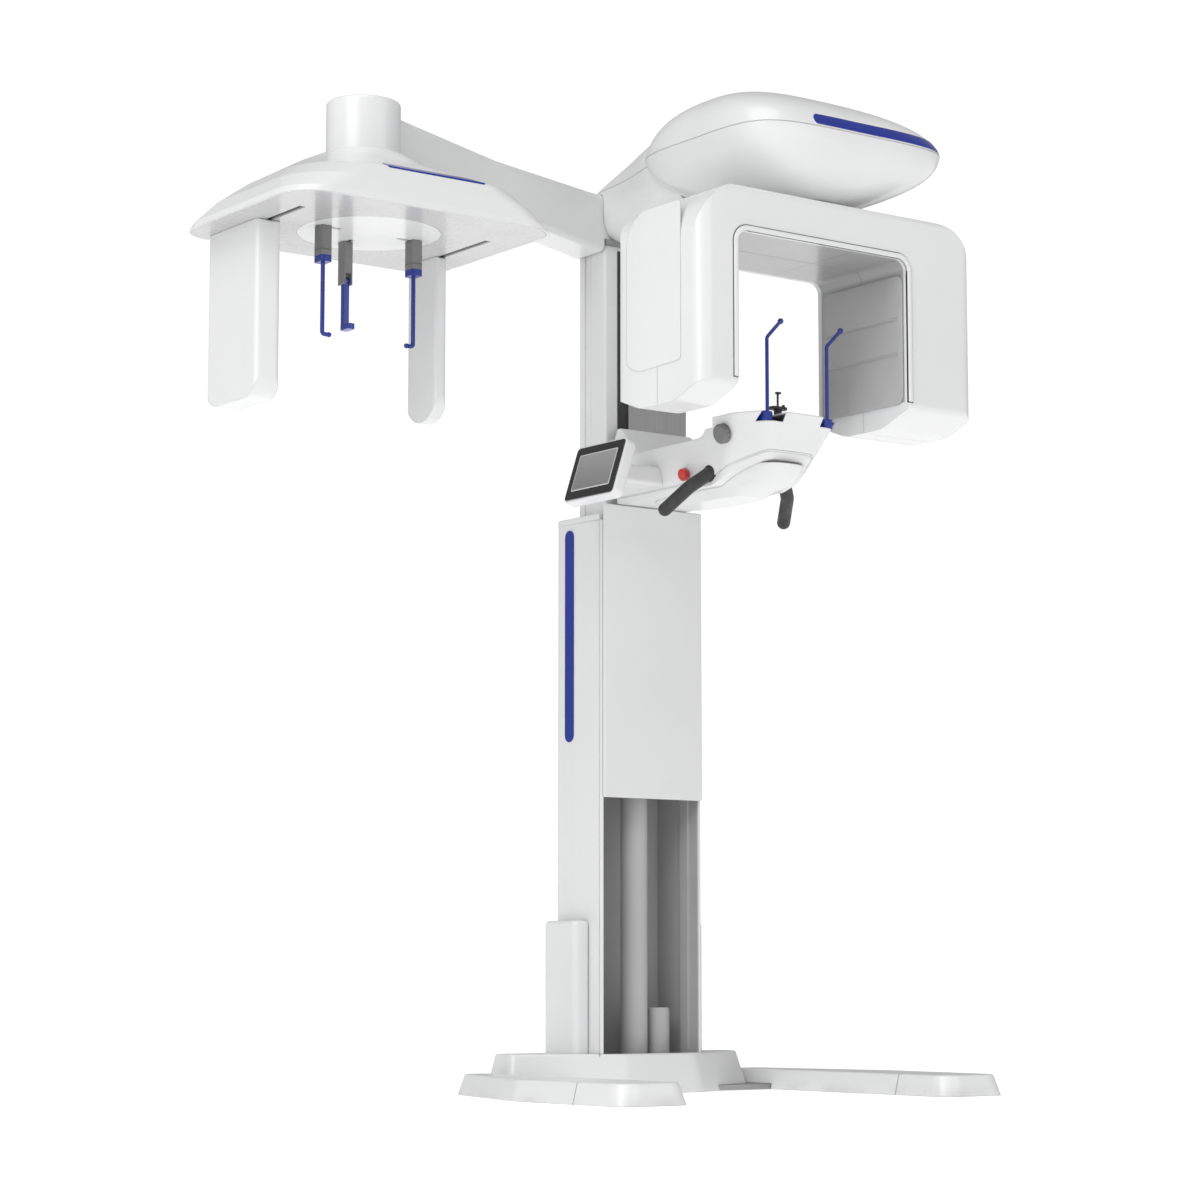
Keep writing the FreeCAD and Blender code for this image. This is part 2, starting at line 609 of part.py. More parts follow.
def make_canopy():
    shell = canopy_body(0).cut(canopy_body(SHELL))
    side, front, rear = MAST_X + 4 + GAP, MAST_FRONT_Y - 8 - GAP, MAST_REAR_Y + 22 + GAP
    mast_room = box(-side, side, front, rear, 1900, MAST_TOP_Z + PLATE_T + GAP)
    boom_room = box(-BOOM_X - GAP, BOOM_X + GAP, front, rear, MAST_TOP_Z, BOOM_Z)
    slot_x = HUB_COLLAR_R + 2
    slot_y = slot_x + SLIDE_TRAVEL
    slot = rounded_box(-slot_x, slot_x, AXIS_Y - slot_y, AXIS_Y + slot_y, CANOPY_BOTTOM_Z - 5,
                       CANOPY_BOTTOM_Z + SHELL + 3, slot_x - 1)
    shell = shell.cut(mast_room).cut(boom_room).cut(slot)
    arm_room = ceph_arm_body(-SEAM)
    shell = shell.cut(arm_room)
    big = 1500.0
    lower = shell.common(box(-big, big, -big, big, 1800, CANOPY_SEAM_Z - SEAM / 2))
    upper = shell.common(box(-big, big, -big, big, CANOPY_SEAM_Z + SEAM / 2, 2400))
    add("canopy_lower_shell", biggest(lower))
    add("canopy_upper_shell", biggest(upper))


def biggest(shape):
    return max(shape.Solids, key=lambda s: s.Volume)


def make_slide():
    """Carriage under the boom that carries the gantry's bearing and its motor."""
    half_y, z0, z1 = SLIDE_HALF_Y, SLIDE_Z, SLIDE_Z + SLIDE_T
    plate = box(-RAIL_X - 9, RAIL_X + 9, AXIS_Y - half_y, AXIS_Y + half_y, z0, z1)
    plate = plate.fuse(box(MOTOR_X - MOTOR_HALF, 0, AXIS_Y - MOTOR_HALF, AXIS_Y + MOTOR_HALF, z0, z1))
    plate = plate.cut(cyl(HUB_R + RUN, 0, AXIS_Y, z0 - 1, z1 + 1)).cut(cyl(6, MOTOR_X, AXIS_Y, z0 - 1, z1 + 1))
    for x in (-RAIL_X, RAIL_X):
        plate = plate.fuse(box(x - 9, x + 9, AXIS_Y - half_y, AXIS_Y + half_y, z1, BOOM_Z - RAIL_H - GAP))
    plate = plate.fuse(cyl(HUB_R + 5.5, 0, AXIS_Y, z1, z1 + 8)).cut(cyl(HUB_R + RUN, 0, AXIS_Y, z1 - 1, z1 + 9))
    add("slide_plate", plate.removeSplitter())
    half = MOTOR_HALF - 4
    motor = rounded_box(MOTOR_X - half, MOTOR_X + half, AXIS_Y - half, AXIS_Y + half, z1, z1 + MOTOR_H, 5)
    motor = fillet_at(motor, "z", z1 + MOTOR_H, 2)
    add("rotation_motor", motor)
    cover = cyl(TURNTABLE_R, 0, AXIS_Y, CANOPY_BOTTOM_Z - 7, CANOPY_BOTTOM_Z - GAP)
    cover = cover.cut(cyl(HUB_COLLAR_R + GAP, 0, AXIS_Y, 1900, CANOPY_BOTTOM_Z))
    add("turntable_cover", cover)
    belt_low, belt_high = z0 - 9, z0 - 2
    outer = belt_loop(BELT_T + GAP, belt_low, belt_high)
    add("rotation_belt", outer.cut(belt_loop(GAP, belt_low - 1, belt_high + 1)))
    pinion = cyl(PINION_R, MOTOR_X, AXIS_Y, belt_low, belt_high).fuse(cyl(5, MOTOR_X, AXIS_Y, belt_low, z1 - GAP))
    add("motor_pulley", pinion)
    hub_low = WIN_TOP_Z + SHELL + 2 + GAN_BEAM_H
    hub = cyl(60, 0, AXIS_Y, hub_low, hub_low + 10)
    hub = hub.fuse(cyl(HUB_COLLAR_R, 0, AXIS_Y, hub_low, belt_low)).fuse(cyl(HUB_R, 0, AXIS_Y, belt_low, z1 + 14))
    hub = hub.fuse(cyl(PULLEY_R, 0, AXIS_Y, belt_low, belt_high))
    hub = hub.cut(cyl(16, 0, AXIS_Y, hub_low - 1, z1 + 20))
    add("gantry_hub", hub.removeSplitter())


def belt_loop(extra, z0, z1):
    """Solid bounded by the flat belt's run round both pulleys, grown by extra."""
    big, small = PULLEY_R + extra, PINION_R + extra
    lean = math.acos((PULLEY_R - PINION_R) / -MOTOR_X)
    points = []
    for r, x in ((big, 0.0), (small, MOTOR_X)):
        points.append((x - r * math.cos(lean), AXIS_Y + r * math.sin(lean)))
        points.append((x - r * math.cos(lean), AXIS_Y - r * math.sin(lean)))
    order = [points[0], points[2], points[3], points[1]]
    wedge = Part.Face(Part.makePolygon([V(u, v, z0) for u, v in order + order[:1]])).extrude(V(0, 0, z1 - z0))
    return wedge.fuse(cyl(big, 0, AXIS_Y, z0, z1)).fuse(cyl(small, MOTOR_X, AXIS_Y, z0, z1)).removeSplitter()


# ---------------------------------------------------------------- gantry
def gantry_body(inset):
    """C-shaped body: front outline, side outline and plan cut each other, then the window is cut."""
    i = inset
    x, top, low = GAN_X - i, GAN_TOP_Z - i, GAN_LOW_Z - 40
    front = [(-x, low, 0), (x, low, 0), (x, top, GAN_TOP_R - i), (-x, top, GAN_TOP_R - i)]
    y0, y1 = GAN_FRONT_Y + i, GAN_REAR_Y - i
    middle = (y0 + y1) / 2
    lift = GAN_LOW_Z + GAN_EDGE_LIFT + i
    chin = GAN_LOW_Z + i
    side = [
        (y0, top, 18), (y0, lift, 16), (middle - 60, chin, 90), (middle + 60, chin, 90),
        (y1, lift, 16), (y1, top, 62),
    ]
    corner = 30 - i
    plan = [(-x, y0, corner), (x, y0, corner), (x, y1, corner), (-x, y1, corner)]
    body = prism(front, "XZ", y0, y1).common(prism(side, "YZ", -x, x)).common(prism(plan, "XY", low, top))
    window = [
        (WIN_LEFT_X - i, low - 5, 0), (WIN_RIGHT_X + i, low - 5, 0),
        (WIN_RIGHT_X + i, WIN_TOP_Z + i, WIN_R + i), (WIN_LEFT_X - i, WIN_TOP_Z + i, WIN_R + i),
    ]
    return body.cut(prism(window, "XZ", y0 - 5, y1 + 5))


def make_gantry():
    shell = gantry_body(0).cut(gantry_body(SHELL))
    shell = shell.cut(cyl(HUB_COLLAR_R + 2, 0, AXIS_Y, GAN_TOP_Z - SHELL - 5, GAN_TOP_Z + 1))
    big = 1000.0
    add("gantry_front_shell", biggest(shell.common(box(-big, big, -big, AXIS_Y - SEAM / 2, 1000, 2000))))
    add("gantry_rear_shell", biggest(shell.common(box(-big, big, AXIS_Y + SEAM / 2, big, 1000, 2000))))
    beam_low = WIN_TOP_Z + SHELL + 2
    beam_top = beam_low + GAN_BEAM_H
    half = GAN_BEAM_HALF_Y
    beam = box(-GAN_BEAM_X, GAN_BEAM_X, AXIS_Y - half, AXIS_Y + half, beam_low, beam_top)
    half -= 6
    beam = beam.cut(box(-GAN_BEAM_X - 1, GAN_BEAM_X + 1, AXIS_Y - half, AXIS_Y + half, beam_low + 6, beam_top - 6))
    add("gantry_beam", beam)
    make_tube_head(beam_low)
    make_detector(beam_low)


def make_tube_head(top):
    left, face = -GAN_X + SHELL + 5, WIN_LEFT_X - SHELL
    tank_right = face - 12
    tank = rounded_box(left, tank_right, AXIS_Y - TANK_HALF_Y, AXIS_Y + TANK_HALF_Y, TANK_LOW_Z, top, 12, "YZ")
    port = box(tank_right, face, AXIS_Y - 50, AXIS_Y + 50, PORT_LOW_Z, PORT_TOP_Z)
    port = port.cut(box(tank_right - 1, face + 1, AXIS_Y - PORT_SLOT_X, AXIS_Y + PORT_SLOT_X,
                        PORT_LOW_Z + 10, PORT_TOP_Z - 10))
    add("xray_tube_head", tank.fuse(port).removeSplitter())
    add("tube_side_cover", prism(list(TUBE_COVER), "YZ", -GAN_X - TUBE_COVER_T, -GAN_X))


def make_detector(top):
    left = WIN_RIGHT_X + SHELL
    detector = box(left, left + DETECTOR_T, AXIS_Y - 80, AXIS_Y + 80, DETECTOR_LOW_Z, top)
    rear = box(left + DETECTOR_T, left + DETECTOR_BOX_T, AXIS_Y - 70, AXIS_Y + 70, DETECTOR_BOX_LOW_Z, top)
    add("panoramic_detector", detector.fuse(rear).removeSplitter())
    x, half = WIN_RIGHT_X, FACE_HALF_Y
    face = rounded_box(x - FACE_T, x, AXIS_Y - half, AXIS_Y + half, FACE_LOW_Z, FACE_TOP_Z, 16, "YZ")
    for z in FACE_GROOVES_Z:
        face = face.cut(box(x - FACE_T - 1, x - FACE_T / 2, AXIS_Y - half + 16, AXIS_Y + half - 16, z, z + 8))
    add("detector_window", face)


# ---------------------------------------------------------------- patient support
def support_plan(level, inset):
    """Outline of the support at one height: straight sides and a rounded nose."""
    z, half_x, neck_y, nose_x, nose_y = level
    x, nose, y = half_x - inset, nose_x - inset, nose_y + inset
    neck_r, nose_r = 50 - inset, 36 - inset
    return outline([(-x, SUP_REAR_Y, 0), (-x, neck_y, neck_r), (-nose, y, nose_r),
                    (nose, y, nose_r), (x, neck_y, neck_r), (x, SUP_REAR_Y, 0)], "XY", z)


def underside(drop):
    """Side view of the support's lower edge, moved down by drop: level arm, rising nose."""
    low = SUP_LOW_Z - drop
    return [(SUP_NOSE_END, low + 76, 0), (-560, low + 31, 100), (SUP_RISE_Y, low, 60), (SUP_REAR_Y, low, 0)]


def support_band(inset, below, above):
    """Slice of the support's tapering body that follows its underside."""
    body = loft([support_plan(SUP_FOOT, inset), support_plan(SUP_TOP, inset)], ruled=True)
    return body.common(prism(underside(below) + underside(-above)[::-1], "YZ", -SUP_TOP[1], SUP_TOP[1]))


def support_body(inset):
    """Arm, raised head and the saddle that slopes down from the mast."""
    body = loft([support_plan(SUP_FOOT, inset), support_plan(SUP_TOP, inset)], ruled=True)
    arm, head = SUP_ARM_Z - inset, SUP_HEAD_Z - inset
    rise = SUP_RISE_Y - SUP_RISE_RUN
    top = [(SUP_REAR_Y, arm, 0), (SUP_RISE_Y, arm, 40), (rise, head, 40), (SUP_NOSE_END, head, 0)]
    body = body.common(prism(top + underside(inset), "YZ", -SUP_TOP[1], SUP_TOP[1]))
    return body.cut(gantry_room(inset)).fuse(saddle(inset)).removeSplitter()


def gantry_room(inset):
    """Ring that the lower ends of the turning gantry need above the support."""
    low = GAN_LOW_Z - 3 - inset
    return cyl(900, 0, AXIS_Y, low, low + 200).cut(cyl(WIN_RIGHT_X - 4 - inset, 0, AXIS_Y, low - 1, low + 201))


def side_lean():
    """Angle of the support's sides from the vertical; they draw in towards the underside."""
    return math.atan((SUP_TOP[1] - SUP_FOOT[1]) / (SUP_TOP[0] - SUP_FOOT[0]))


def on_side(solid, y, z):
    """Puts a control, made along -X at the origin, square on the support's leaning left side."""
    x = -SUP_FOOT[1] - (z - SUP_FOOT[0]) * math.tan(side_lean())
    turned = solid.copy()
    turned.rotate(V(0, 0, 0), V(0, 1, 0), -math.degrees(side_lean()))
    turned.translate(V(x, y, z))
    return turned


def saddle(inset):
    x, low = SUP_FOOT[1] + 26 - inset, SUP_ARM_Z - 8
    foot = [(-x, SUP_REAR_Y, 0), (x, SUP_REAR_Y, 0), (x, SADDLE_FRONT_Y + inset, 0), (-x, SADDLE_FRONT_Y + inset, 0)]
    x, front = x - 26, SUP_REAR_Y - 14 + inset
    top = [(-x, SUP_REAR_Y, 0), (x, SUP_REAR_Y, 0), (x, front, 0), (-x, front, 0)]
    return loft([outline(foot, "XY", low), outline(top, "XY", SADDLE_Z - inset)], ruled=True)


def make_support():
    shell = support_body(0).cut(support_body(SHEET))
    shell = shell.cut(box(-90, 90, SUP_REAR_Y - SHEET - 1, SUP_REAR_Y + 1, SUP_LOW_Z - 1, SUP_ARM_Z - 12))
    seat = SUP_HEAD_Z - SEAT_DEPTH
    inner, outer, stem_y = TEMPLE_X - TEMPLE_IN, TEMPLE_X + TEMPLE_OUT, TEMPLE_Y + STEM_BACK
    for side in (-1, 1):
        ends = (side * (inner - FOOT_HALF_X - 2), side * (outer + FOOT_HALF_X + 2))
        step = box(*ends, SUP_TOP[4] - 1, TEMPLE_Y + FOOT_REAR_Y + 2, seat - SHEET, SUP_HEAD_Z + 1)
        floor = step.common(support_body(0)).common(box(*ends, -900, 0, seat - SHEET, seat))
        shell = shell.cut(step).fuse(floor)
        slot = box(side * (inner - 5), side * (outer + 5), stem_y - 4, stem_y + 4, seat - 8, seat + 1)
        shell = shell.cut(slot)
    shell = shell.cut(on_side(cyl_x(CONTROL_BORE_R, -1, 8, 0, 0), KNOB_Y, KNOB_Z))
    shell = shell.cut(cyl(BUTTON_BORE_R, BUTTON_X, BUTTON_Y, SUP_HEAD_Z - 8, SUP_HEAD_Z + 1))
    shell = shell.fuse(on_side(cyl_x(STOP_R + 2, -BEZEL_T, 1, 0, 0), STOP_Y, STOP_Z))
    shell = shell.cut(on_side(cyl_x(CONTROL_BORE_R, -BEZEL_T - 1, 8, 0, 0), STOP_Y, STOP_Z))
    room = handle_bar(GRIP_R + 2)
    shell = shell.cut(room).cut(mirrored(room)).removeSplitter()
    add("support_shell", biggest(shell))
    tray = support_band(2, GROOVE_H + TRAY_T, -GROOVE_H).fuse(support_band(SHEET + GAP, GROOVE_H, TRAY_RIM))
    tray = tray.cut(support_band(SHEET + GAP + SHEET, 0, TRAY_RIM + 1)).cut(room).cut(mirrored(room))
    beam_low, beam_rear = SUP_LOW_Z - GROOVE_H + 3, MAST_FRONT_Y - 12
    beam = box(-45, 45, -540, beam_rear, beam_low, beam_low + 50)
    add("support_tray", biggest(tray.cut(box(-45, 45, -541, beam_rear + 1, beam_low, beam_low + 51)).removeSplitter()))
    bowl = bowl_body(0).cut(bowl_body(SHEET)).cut(support_band(0, GROOVE_H + TRAY_T, 80))
    add("support_bowl", biggest(bowl.cut(room).cut(mirrored(room))))
    beam = beam.cut(box(-39, 39, -541, beam_rear - 6, beam_low + 6, beam_low + 44))
    flange = box(-88, 88, beam_rear, MAST_FRONT_Y, SUP_LOW_Z - 10, SUP_ARM_Z - 14)
    add("support_beam", beam.fuse(flange).removeSplitter())


def bowl_body(inset):
    wires = []
    for depth, half_x, half_y in BOWL_ROWS:
        z = SUP_LOW_Z - TRAY_T - depth
        lift = inset if depth == BOWL_ROWS[-1][0] else 0
        wires.append(oval(0, BOWL_Y, half_x - inset, half_y - inset, 3.0, "XY", z + lift))
    return loft(wires)


def handle_bar(radius):
    """Right handle's bar: out of the support's recess, over a hump and down to its free end."""
    return tube_along(list(HANDLE_PATH), radius, 40)


def make_handles():
    grip = handle_bar(GRIP_R).fuse(Part.makeSphere(GRIP_R, HANDLE_PATH[-1]))
    grip = grip.cut(box(-45, 45, -600, -400, 1300, 1400)).removeSplitter()
    add("handles", grip, mirrored(grip))


def make_temples():
    seat = SUP_HEAD_Z - SEAT_DEPTH
    foot_low = seat + GAP
    foot_top = foot_low + 22
    corner = V(TEMPLE_X, TEMPLE_Y, TEMPLE_TOP_Z)
    rod = tube_along([V(TEMPLE_X, TEMPLE_Y, foot_top - 4), corner, corner + V(0, -47, 27)], TEMPLE_ROD_R, 9)
    foot = rounded_box(TEMPLE_X - FOOT_HALF_X, TEMPLE_X + FOOT_HALF_X, TEMPLE_Y - FOOT_FRONT_Y, TEMPLE_Y + FOOT_REAR_Y,
                       foot_low, foot_top, 6)
    foot = fillet_at(foot, "z", foot_top, 3)
    stem_y = TEMPLE_Y + STEM_BACK
    stem = cyl(3.4, TEMPLE_X, stem_y, seat - 8, foot_low + 1)
    shoe = box(TEMPLE_X - 8, TEMPLE_X + 4, stem_y - 4, stem_y + 8, seat - 8, seat - SHEET - GAP)
    pad = Part.makeSphere(6.5, corner + V(0, -47, 27))
    support = foot.fuse(rod).fuse(stem).fuse(shoe).fuse(pad).removeSplitter()
    add("temple_support_right", support)
    add("temple_support_left", mirrored(support))


def make_support_controls():
    outer = -1 - KNOB_T
    knob = fillet_at(cyl_x(KNOB_R, outer, -1, 0, 0), "x", outer, 5)
    knob = knob.fuse(cyl_x(CONTROL_BORE_R - 2 * GAP, -1, 22, 0, 0)).removeSplitter()
    for i in range(KNOB_FLUTES):
        turn = 2 * math.pi * i / KNOB_FLUTES
        knob = knob.cut(cyl_x(2.2, outer - 1, -4, (KNOB_R + 1) * math.cos(turn), (KNOB_R + 1) * math.sin(turn)))
    add("width_knob", on_side(knob, KNOB_Y, KNOB_Z))
    inner = -BEZEL_T - STOP_TRAVEL - GAP
    cap = fillet_at(cyl_x(STOP_R, -20, inner, 0, 0), "x", -20, 3)
    cap = cap.fuse(cyl_x(CONTROL_BORE_R - GAP, inner, 12, 0, 0)).removeSplitter()
    add("emergency_stop_button", on_side(cap, STOP_Y, STOP_Z))
    z = SUP_HEAD_Z
    button = fillet_at(cyl(BUTTON_R, BUTTON_X, BUTTON_Y, z + 2.5, z + 7), "z", z + 7, 2)
    add("release_button", button.fuse(cyl(BUTTON_BORE_R - GAP, BUTTON_X, BUTTON_Y, z - 8, z + 3)).removeSplitter())


def make_chin_rest():
    """Chin plate on a post, with a bite rod and a small locating peg."""
    y, z = CHIN_Y, CHIN_Z
    plate = fillet_at(rounded_box(-22, 22, y - 13, y + 13, z, z + 6, 11), "z", z + 6, 2)
    post = cyl(9, 0, y, SUP_HEAD_Z, z)
    bite = cyl(2.4, 0, y, z + 6, BITE_TOP_Z - 4).fuse(rounded_box(-6, 6, y - 7, y + 4, BITE_TOP_Z - 4, BITE_TOP_Z, 3))
    peg = cyl(3.5, 16, y, z + 6, z + 12)
    add("chin_rest", plate.fuse(post).fuse(bite).fuse(peg).removeSplitter())


def tilted(solid):
    """Takes a piece of the display from its own axes (+X inwards) to its place on the arm."""
    turned = solid.copy()
    turned.rotate(V(0, 0, 0), V(0, 1, 0), SCREEN_TILT)
    turned.translate(SCREEN_AT)
    return turned


def make_display():
    w, h = SCREEN_W / 2, SCREEN_H / 2
    housing = rounded_box(0, 30, -w - 6, w + 6, -h - 5, h + 5, 16, "YZ")
    housing = fillet_at(fillet_at(housing, "x", 0, 3), "x", 30, 8)
    bracket = rounded_box(-262, -SUP_FOOT[1], -300, -226, 1354, 1396, 10, "YZ").cut(support_body(0))
    joined = tilted(housing).fuse(bracket.cut(tilted(box(-60, 20, -w, w, -h, h)))).removeSplitter()
    add("display_housing", joined)
    screen = rounded_box(-2.5, 0, -w, w, -h, h, 8, "YZ")
    add("display_screen", tilted(fillet_at(screen, "x", -2.5, 1)))


# ---------------------------------------------------------------- cephalometric unit
def ceph_arm_body(inset):
    """Tapered arm from the mast head to the hood, in upright sections square to its run."""
    start, stop = V(-96, -30, 0), V(KNUCKLE_X + 40, CEPH_Y + 16, 0)
    rows = [(0.0, 1998.0, 60.0, 68.0), (0.1, 1996.0, 52.0, 66.0), (0.55, 1992.0, 46.0, 58.0), (1.0, 2000.0, 50.0, 56.0)]
    run = (stop - start)
    side = V(-run.y, run.x, 0).normalize()
    wires = []
    for share, z, half_w, half_h in rows:
        centre = start + run * share
        w, h, r = half_w - inset, half_h - inset, 16.0
        spots = []
        for su, sv in ((1, 1), (-1, 1), (-1, -1), (1, -1)):
            spots.append((su * w, sv * h, r))
        flat = outline(spots, "XY", 0)
        matrix = FreeCAD.Matrix(side.x, 0, run.x, centre.x, side.y, 0, run.y, centre.y, 0, 1, 0, z, 0, 0, 0, 1)
        matrix.A13, matrix.A23 = run.x / run.Length, run.y / run.Length
        wires.append(flat.transformGeometry(matrix))
    return loft(wires, ruled=True)


def hood_wire(row, inset, lift=0.0):
    """Rounded outline of the hood at one height; its corners grow rounder towards the knuckle."""
    z, left, right, front, rear = row
    x0, x1 = HOOD_LEFT_X + left + inset, HOOD_RIGHT_X - right - inset
    y0, y1 = HOOD_FRONT_Y + front + inset, HOOD_REAR_Y - rear - inset
    share = (z - HOOD_ROWS[0][0]) / (HOOD_ROWS[-1][0] - HOOD_ROWS[0][0])
    roundest = 0.98 * min(x1 - x0, y1 - y0) / 2
    r = HOOD_CORNER - inset + (roundest - HOOD_CORNER + inset) * share
    return outline([(x0, y0, r), (x1, y0, r), (x1, y1, r), (x0, y1, r)], "XY", z + lift)


def hood_body(inset):
    wires = []
    for row in HOOD_ROWS:
        lift = 0.0
        if inset:
            lift = -1.0 if row is HOOD_ROWS[0] else -inset
        wires.append(hood_wire(row, inset, lift))
    return loft(wires, ruled=True)


def make_hood():
    hood = hood_body(0).cut(hood_body(SHELL)).cut(cyl(40, KNUCKLE_X, CEPH_Y, 1900, 2000))
    add("ceph_hood", biggest(hood))
    high = HOOD_LOW_Z + UNDERPLATE_T
    plate = hood_body(SHELL).common(box(-1400, -400, -800, 100, HOOD_LOW_Z, high))
    plate = plate.cut(cyl(DISC_R + GAP, CEPH_X, CEPH_Y, HOOD_LOW_Z - 1, HOOD_LOW_Z + 20))
    for x, y, half in ((SENSOR_X, SENSOR_Y, 34), (COLLIM_X, COLLIM_Y, 34)):
        plate = plate.cut(box(x - 7, x + 7, y - SCAN_FORWARD - half, y + SCAN_BACK + half, HOOD_LOW_Z - 1, HOOD_LOW_Z + 20))
    add("ceph_underplate", plate)
    bridge_z = HOOD_LOW_Z + UNDERPLATE_T
    ring = cyl(DISC_R + 14, CEPH_X, CEPH_Y, bridge_z, bridge_z + 16)
    ring = ring.cut(cyl(DISC_R + GAP, CEPH_X, CEPH_Y, bridge_z - 1, bridge_z + 17))
    lid = cyl(DISC_R + 14, CEPH_X, CEPH_Y, bridge_z + 16, bridge_z + 22)
    bore = cyl(14 + RUN, CEPH_X, CEPH_Y, bridge_z, bridge_z + 23)
    post_low = bridge_z + 22
    post = cyl(28, KNUCKLE_X, CEPH_Y, post_low, 2000).cut(cyl(20, KNUCKLE_X, CEPH_Y, post_low + 8, 2001))
    add("disc_housing", ring.fuse(lid).fuse(post.cut(ceph_arm_body(0))).cut(bore).removeSplitter())
    cap = cyl(KNUCKLE_R, KNUCKLE_X, CEPH_Y, HOOD_TOP_Z, KNUCKLE_TOP_Z)
    cap = fillet_at(cap, "z", KNUCKLE_TOP_Z, 7)
    cap = cap.cut(cyl(KNUCKLE_R - SHELL, KNUCKLE_X, CEPH_Y, HOOD_TOP_Z - 1, KNUCKLE_TOP_Z - SHELL))
    cap = cap.cut(ceph_arm_body(-SEAM / 2))
    add("knuckle_cap", biggest(cap))


def make_ceph_arm():
    arm = ceph_arm_body(0).cut(ceph_arm_body(SHEET))
    arm = arm.cut(box(-MAST_X - 5, MAST_X + 60, MAST_FRONT_Y - 9, MAST_REAR_Y + 23, 1800, MAST_TOP_Z + PLATE_T + 1))
    arm = arm.cut(box(-BOOM_X - 1, BOOM_X + 1, -400, 100, 1900, 2100))
    arm = arm.cut(hood_body(0))
    add("ceph_arm_shell", biggest(arm))
    start, stop = V(-110, -36, 1990), V(KNUCKLE_X + 52, CEPH_Y + 20, 1990)
    run = stop - start
    bar = Part.makeBox(run.Length, 60, 60, V(0, -30, -30)).cut(Part.makeBox(run.Length + 2, 50, 50, V(-1, -25, -25)))
    bar.rotate(V(0, 0, 0), V(0, 0, 1), math.degrees(math.atan2(run.y, run.x)))
    bar.translate(start)
    add("ceph_arm_beam", bar.cut(box(-BOOM_X, 200, -300, 200, 1800, 2200)))


def slung_panel(x, y, thick, width, height, bottom_r, side_r):
    """Flat housing that hangs from the hood on a stem through the underside's slot."""
    top = HOOD_LOW_Z - GAP
    x0, x1 = x - thick / 2, x + thick / 2
    corners = [(y - width / 2, top, 4), (y + width / 2, top, 4), (y + width / 2, top - height, bottom_r),
               (y - width / 2, top - height, bottom_r)]
    body = prism(corners, "YZ", x0, x1)
    body = body.common(rounded_box(x0, x1, y - width / 2, y + width / 2, top - height, top, side_r))
    stem = box(x - 5, x + 5, y - 30, y + 30, top - 1, HOOD_LOW_Z + UNDERPLATE_T + GAP)
    shoe = box(x - 16, x + 16, y - 30, y + 30, HOOD_LOW_Z + UNDERPLATE_T + GAP, HOOD_LOW_Z + UNDERPLATE_T + 8)
    return body.fuse(stem).fuse(shoe).removeSplitter()


def make_ceph_movers():
    add("ceph_sensor", slung_panel(SENSOR_X, SENSOR_Y, SENSOR_T, SENSOR_W, SENSOR_H, 46, 12))
    add("ceph_collimator", slung_panel(COLLIM_X, COLLIM_Y, COLLIM_T, COLLIM_W, COLLIM_H, COLLIM_W / 2 - 1, 10))
    z0, z1 = HOOD_LOW_Z, HOOD_LOW_Z + DISC_T
    disc = cyl(DISC_R, CEPH_X, CEPH_Y, z0, z1)
    for side in (-1, 1):
        inner, outer = EAR_X - EAR_IN - 6, EAR_X + EAR_OUT + 6
        disc = disc.cut(box(CEPH_X + side * inner, CEPH_X + side * outer, CEPH_Y - 5, CEPH_Y + 5, z0 - 1, z1 + 1))
    y = CEPH_Y + NASION_Y
    disc = disc.cut(box(CEPH_X - 5, CEPH_X + 5, y - NASION_TRAVEL - 6, y + NASION_TRAVEL + 6, z0 - 1, z1 + 1))
    shaft = cyl(14, CEPH_X, CEPH_Y, z1 - 1, HOOD_LOW_Z + UNDERPLATE_T + 22)
    add("ceph_disc", disc.fuse(shaft).removeSplitter())
    top = HOOD_LOW_Z - GAP
    low = top - EAR_HOLDER_H
    x = CEPH_X + EAR_X
    holder = rounded_box(x - 13, x + 13, CEPH_Y - 17, CEPH_Y + 17, low, top, 6)
    holder = holder.fuse(cyl(4.6, x, CEPH_Y, top - 1, z1 + 1))
    holder = holder.fuse(box(x - 8, x + 8, CEPH_Y - 9, CEPH_Y + 9, z1 + GAP, z1 + 5)).removeSplitter()
    tip = V(x, CEPH_Y, low - EAR_ROD_H)
    rod = tube_along([V(x, CEPH_Y, low), tip, tip + V(-14, 0, 0)], EAR_ROD_R, 6)
    plug = Part.makeSphere(5.5, tip + V(-16, 0, 0))
    ear_rod = holder.fuse(rod).fuse(plug).removeSplitter()
    add("ear_rod_right", ear_rod)
    add("ear_rod_left", ear_rod.mirror(V(CEPH_X, 0, 0), V(1, 0, 0)))
    low = top - NASION_HOLDER_H
    holder = rounded_box(CEPH_X - 12, CEPH_X + 12, y - 14, y + 14, low, top, 6)
    holder = holder.fuse(cyl(4.6, CEPH_X, y, top - 1, z1 + 1))
    holder = holder.fuse(box(CEPH_X - 8, CEPH_X + 8, y - 9, y + 9, z1 + GAP, z1 + 5))
    fork = box(CEPH_X - 7, CEPH_X + 7, y - 15, y + 15, low - 1, low + 24)
    pin_z = low + 9
    pin = cyl_x(3, CEPH_X - 12, CEPH_X + 12, y, pin_z)
    add("nasion_holder", holder.cut(fork).fuse(pin).removeSplitter())
    bottom = V(CEPH_X, y, low - NASION_ROD_H)
    eye = cyl_x(7.5, CEPH_X - 6.5, CEPH_X + 6.5, y, pin_z)
    blade = box(CEPH_X - 6.5, CEPH_X + 6.5, y - 6, y + 6, bottom.z + 6, pin_z)
    pad = rounded_box(CEPH_X - 9, CEPH_X + 9, y - 28, y + 6, bottom.z - 4, bottom.z + 8, 5)
    arm = eye.fuse(blade).fuse(pad).cut(cyl_x(3 + RUN, CEPH_X - 20, CEPH_X + 20, y, pin_z))
    add("nasion_rod", arm.removeSplitter())


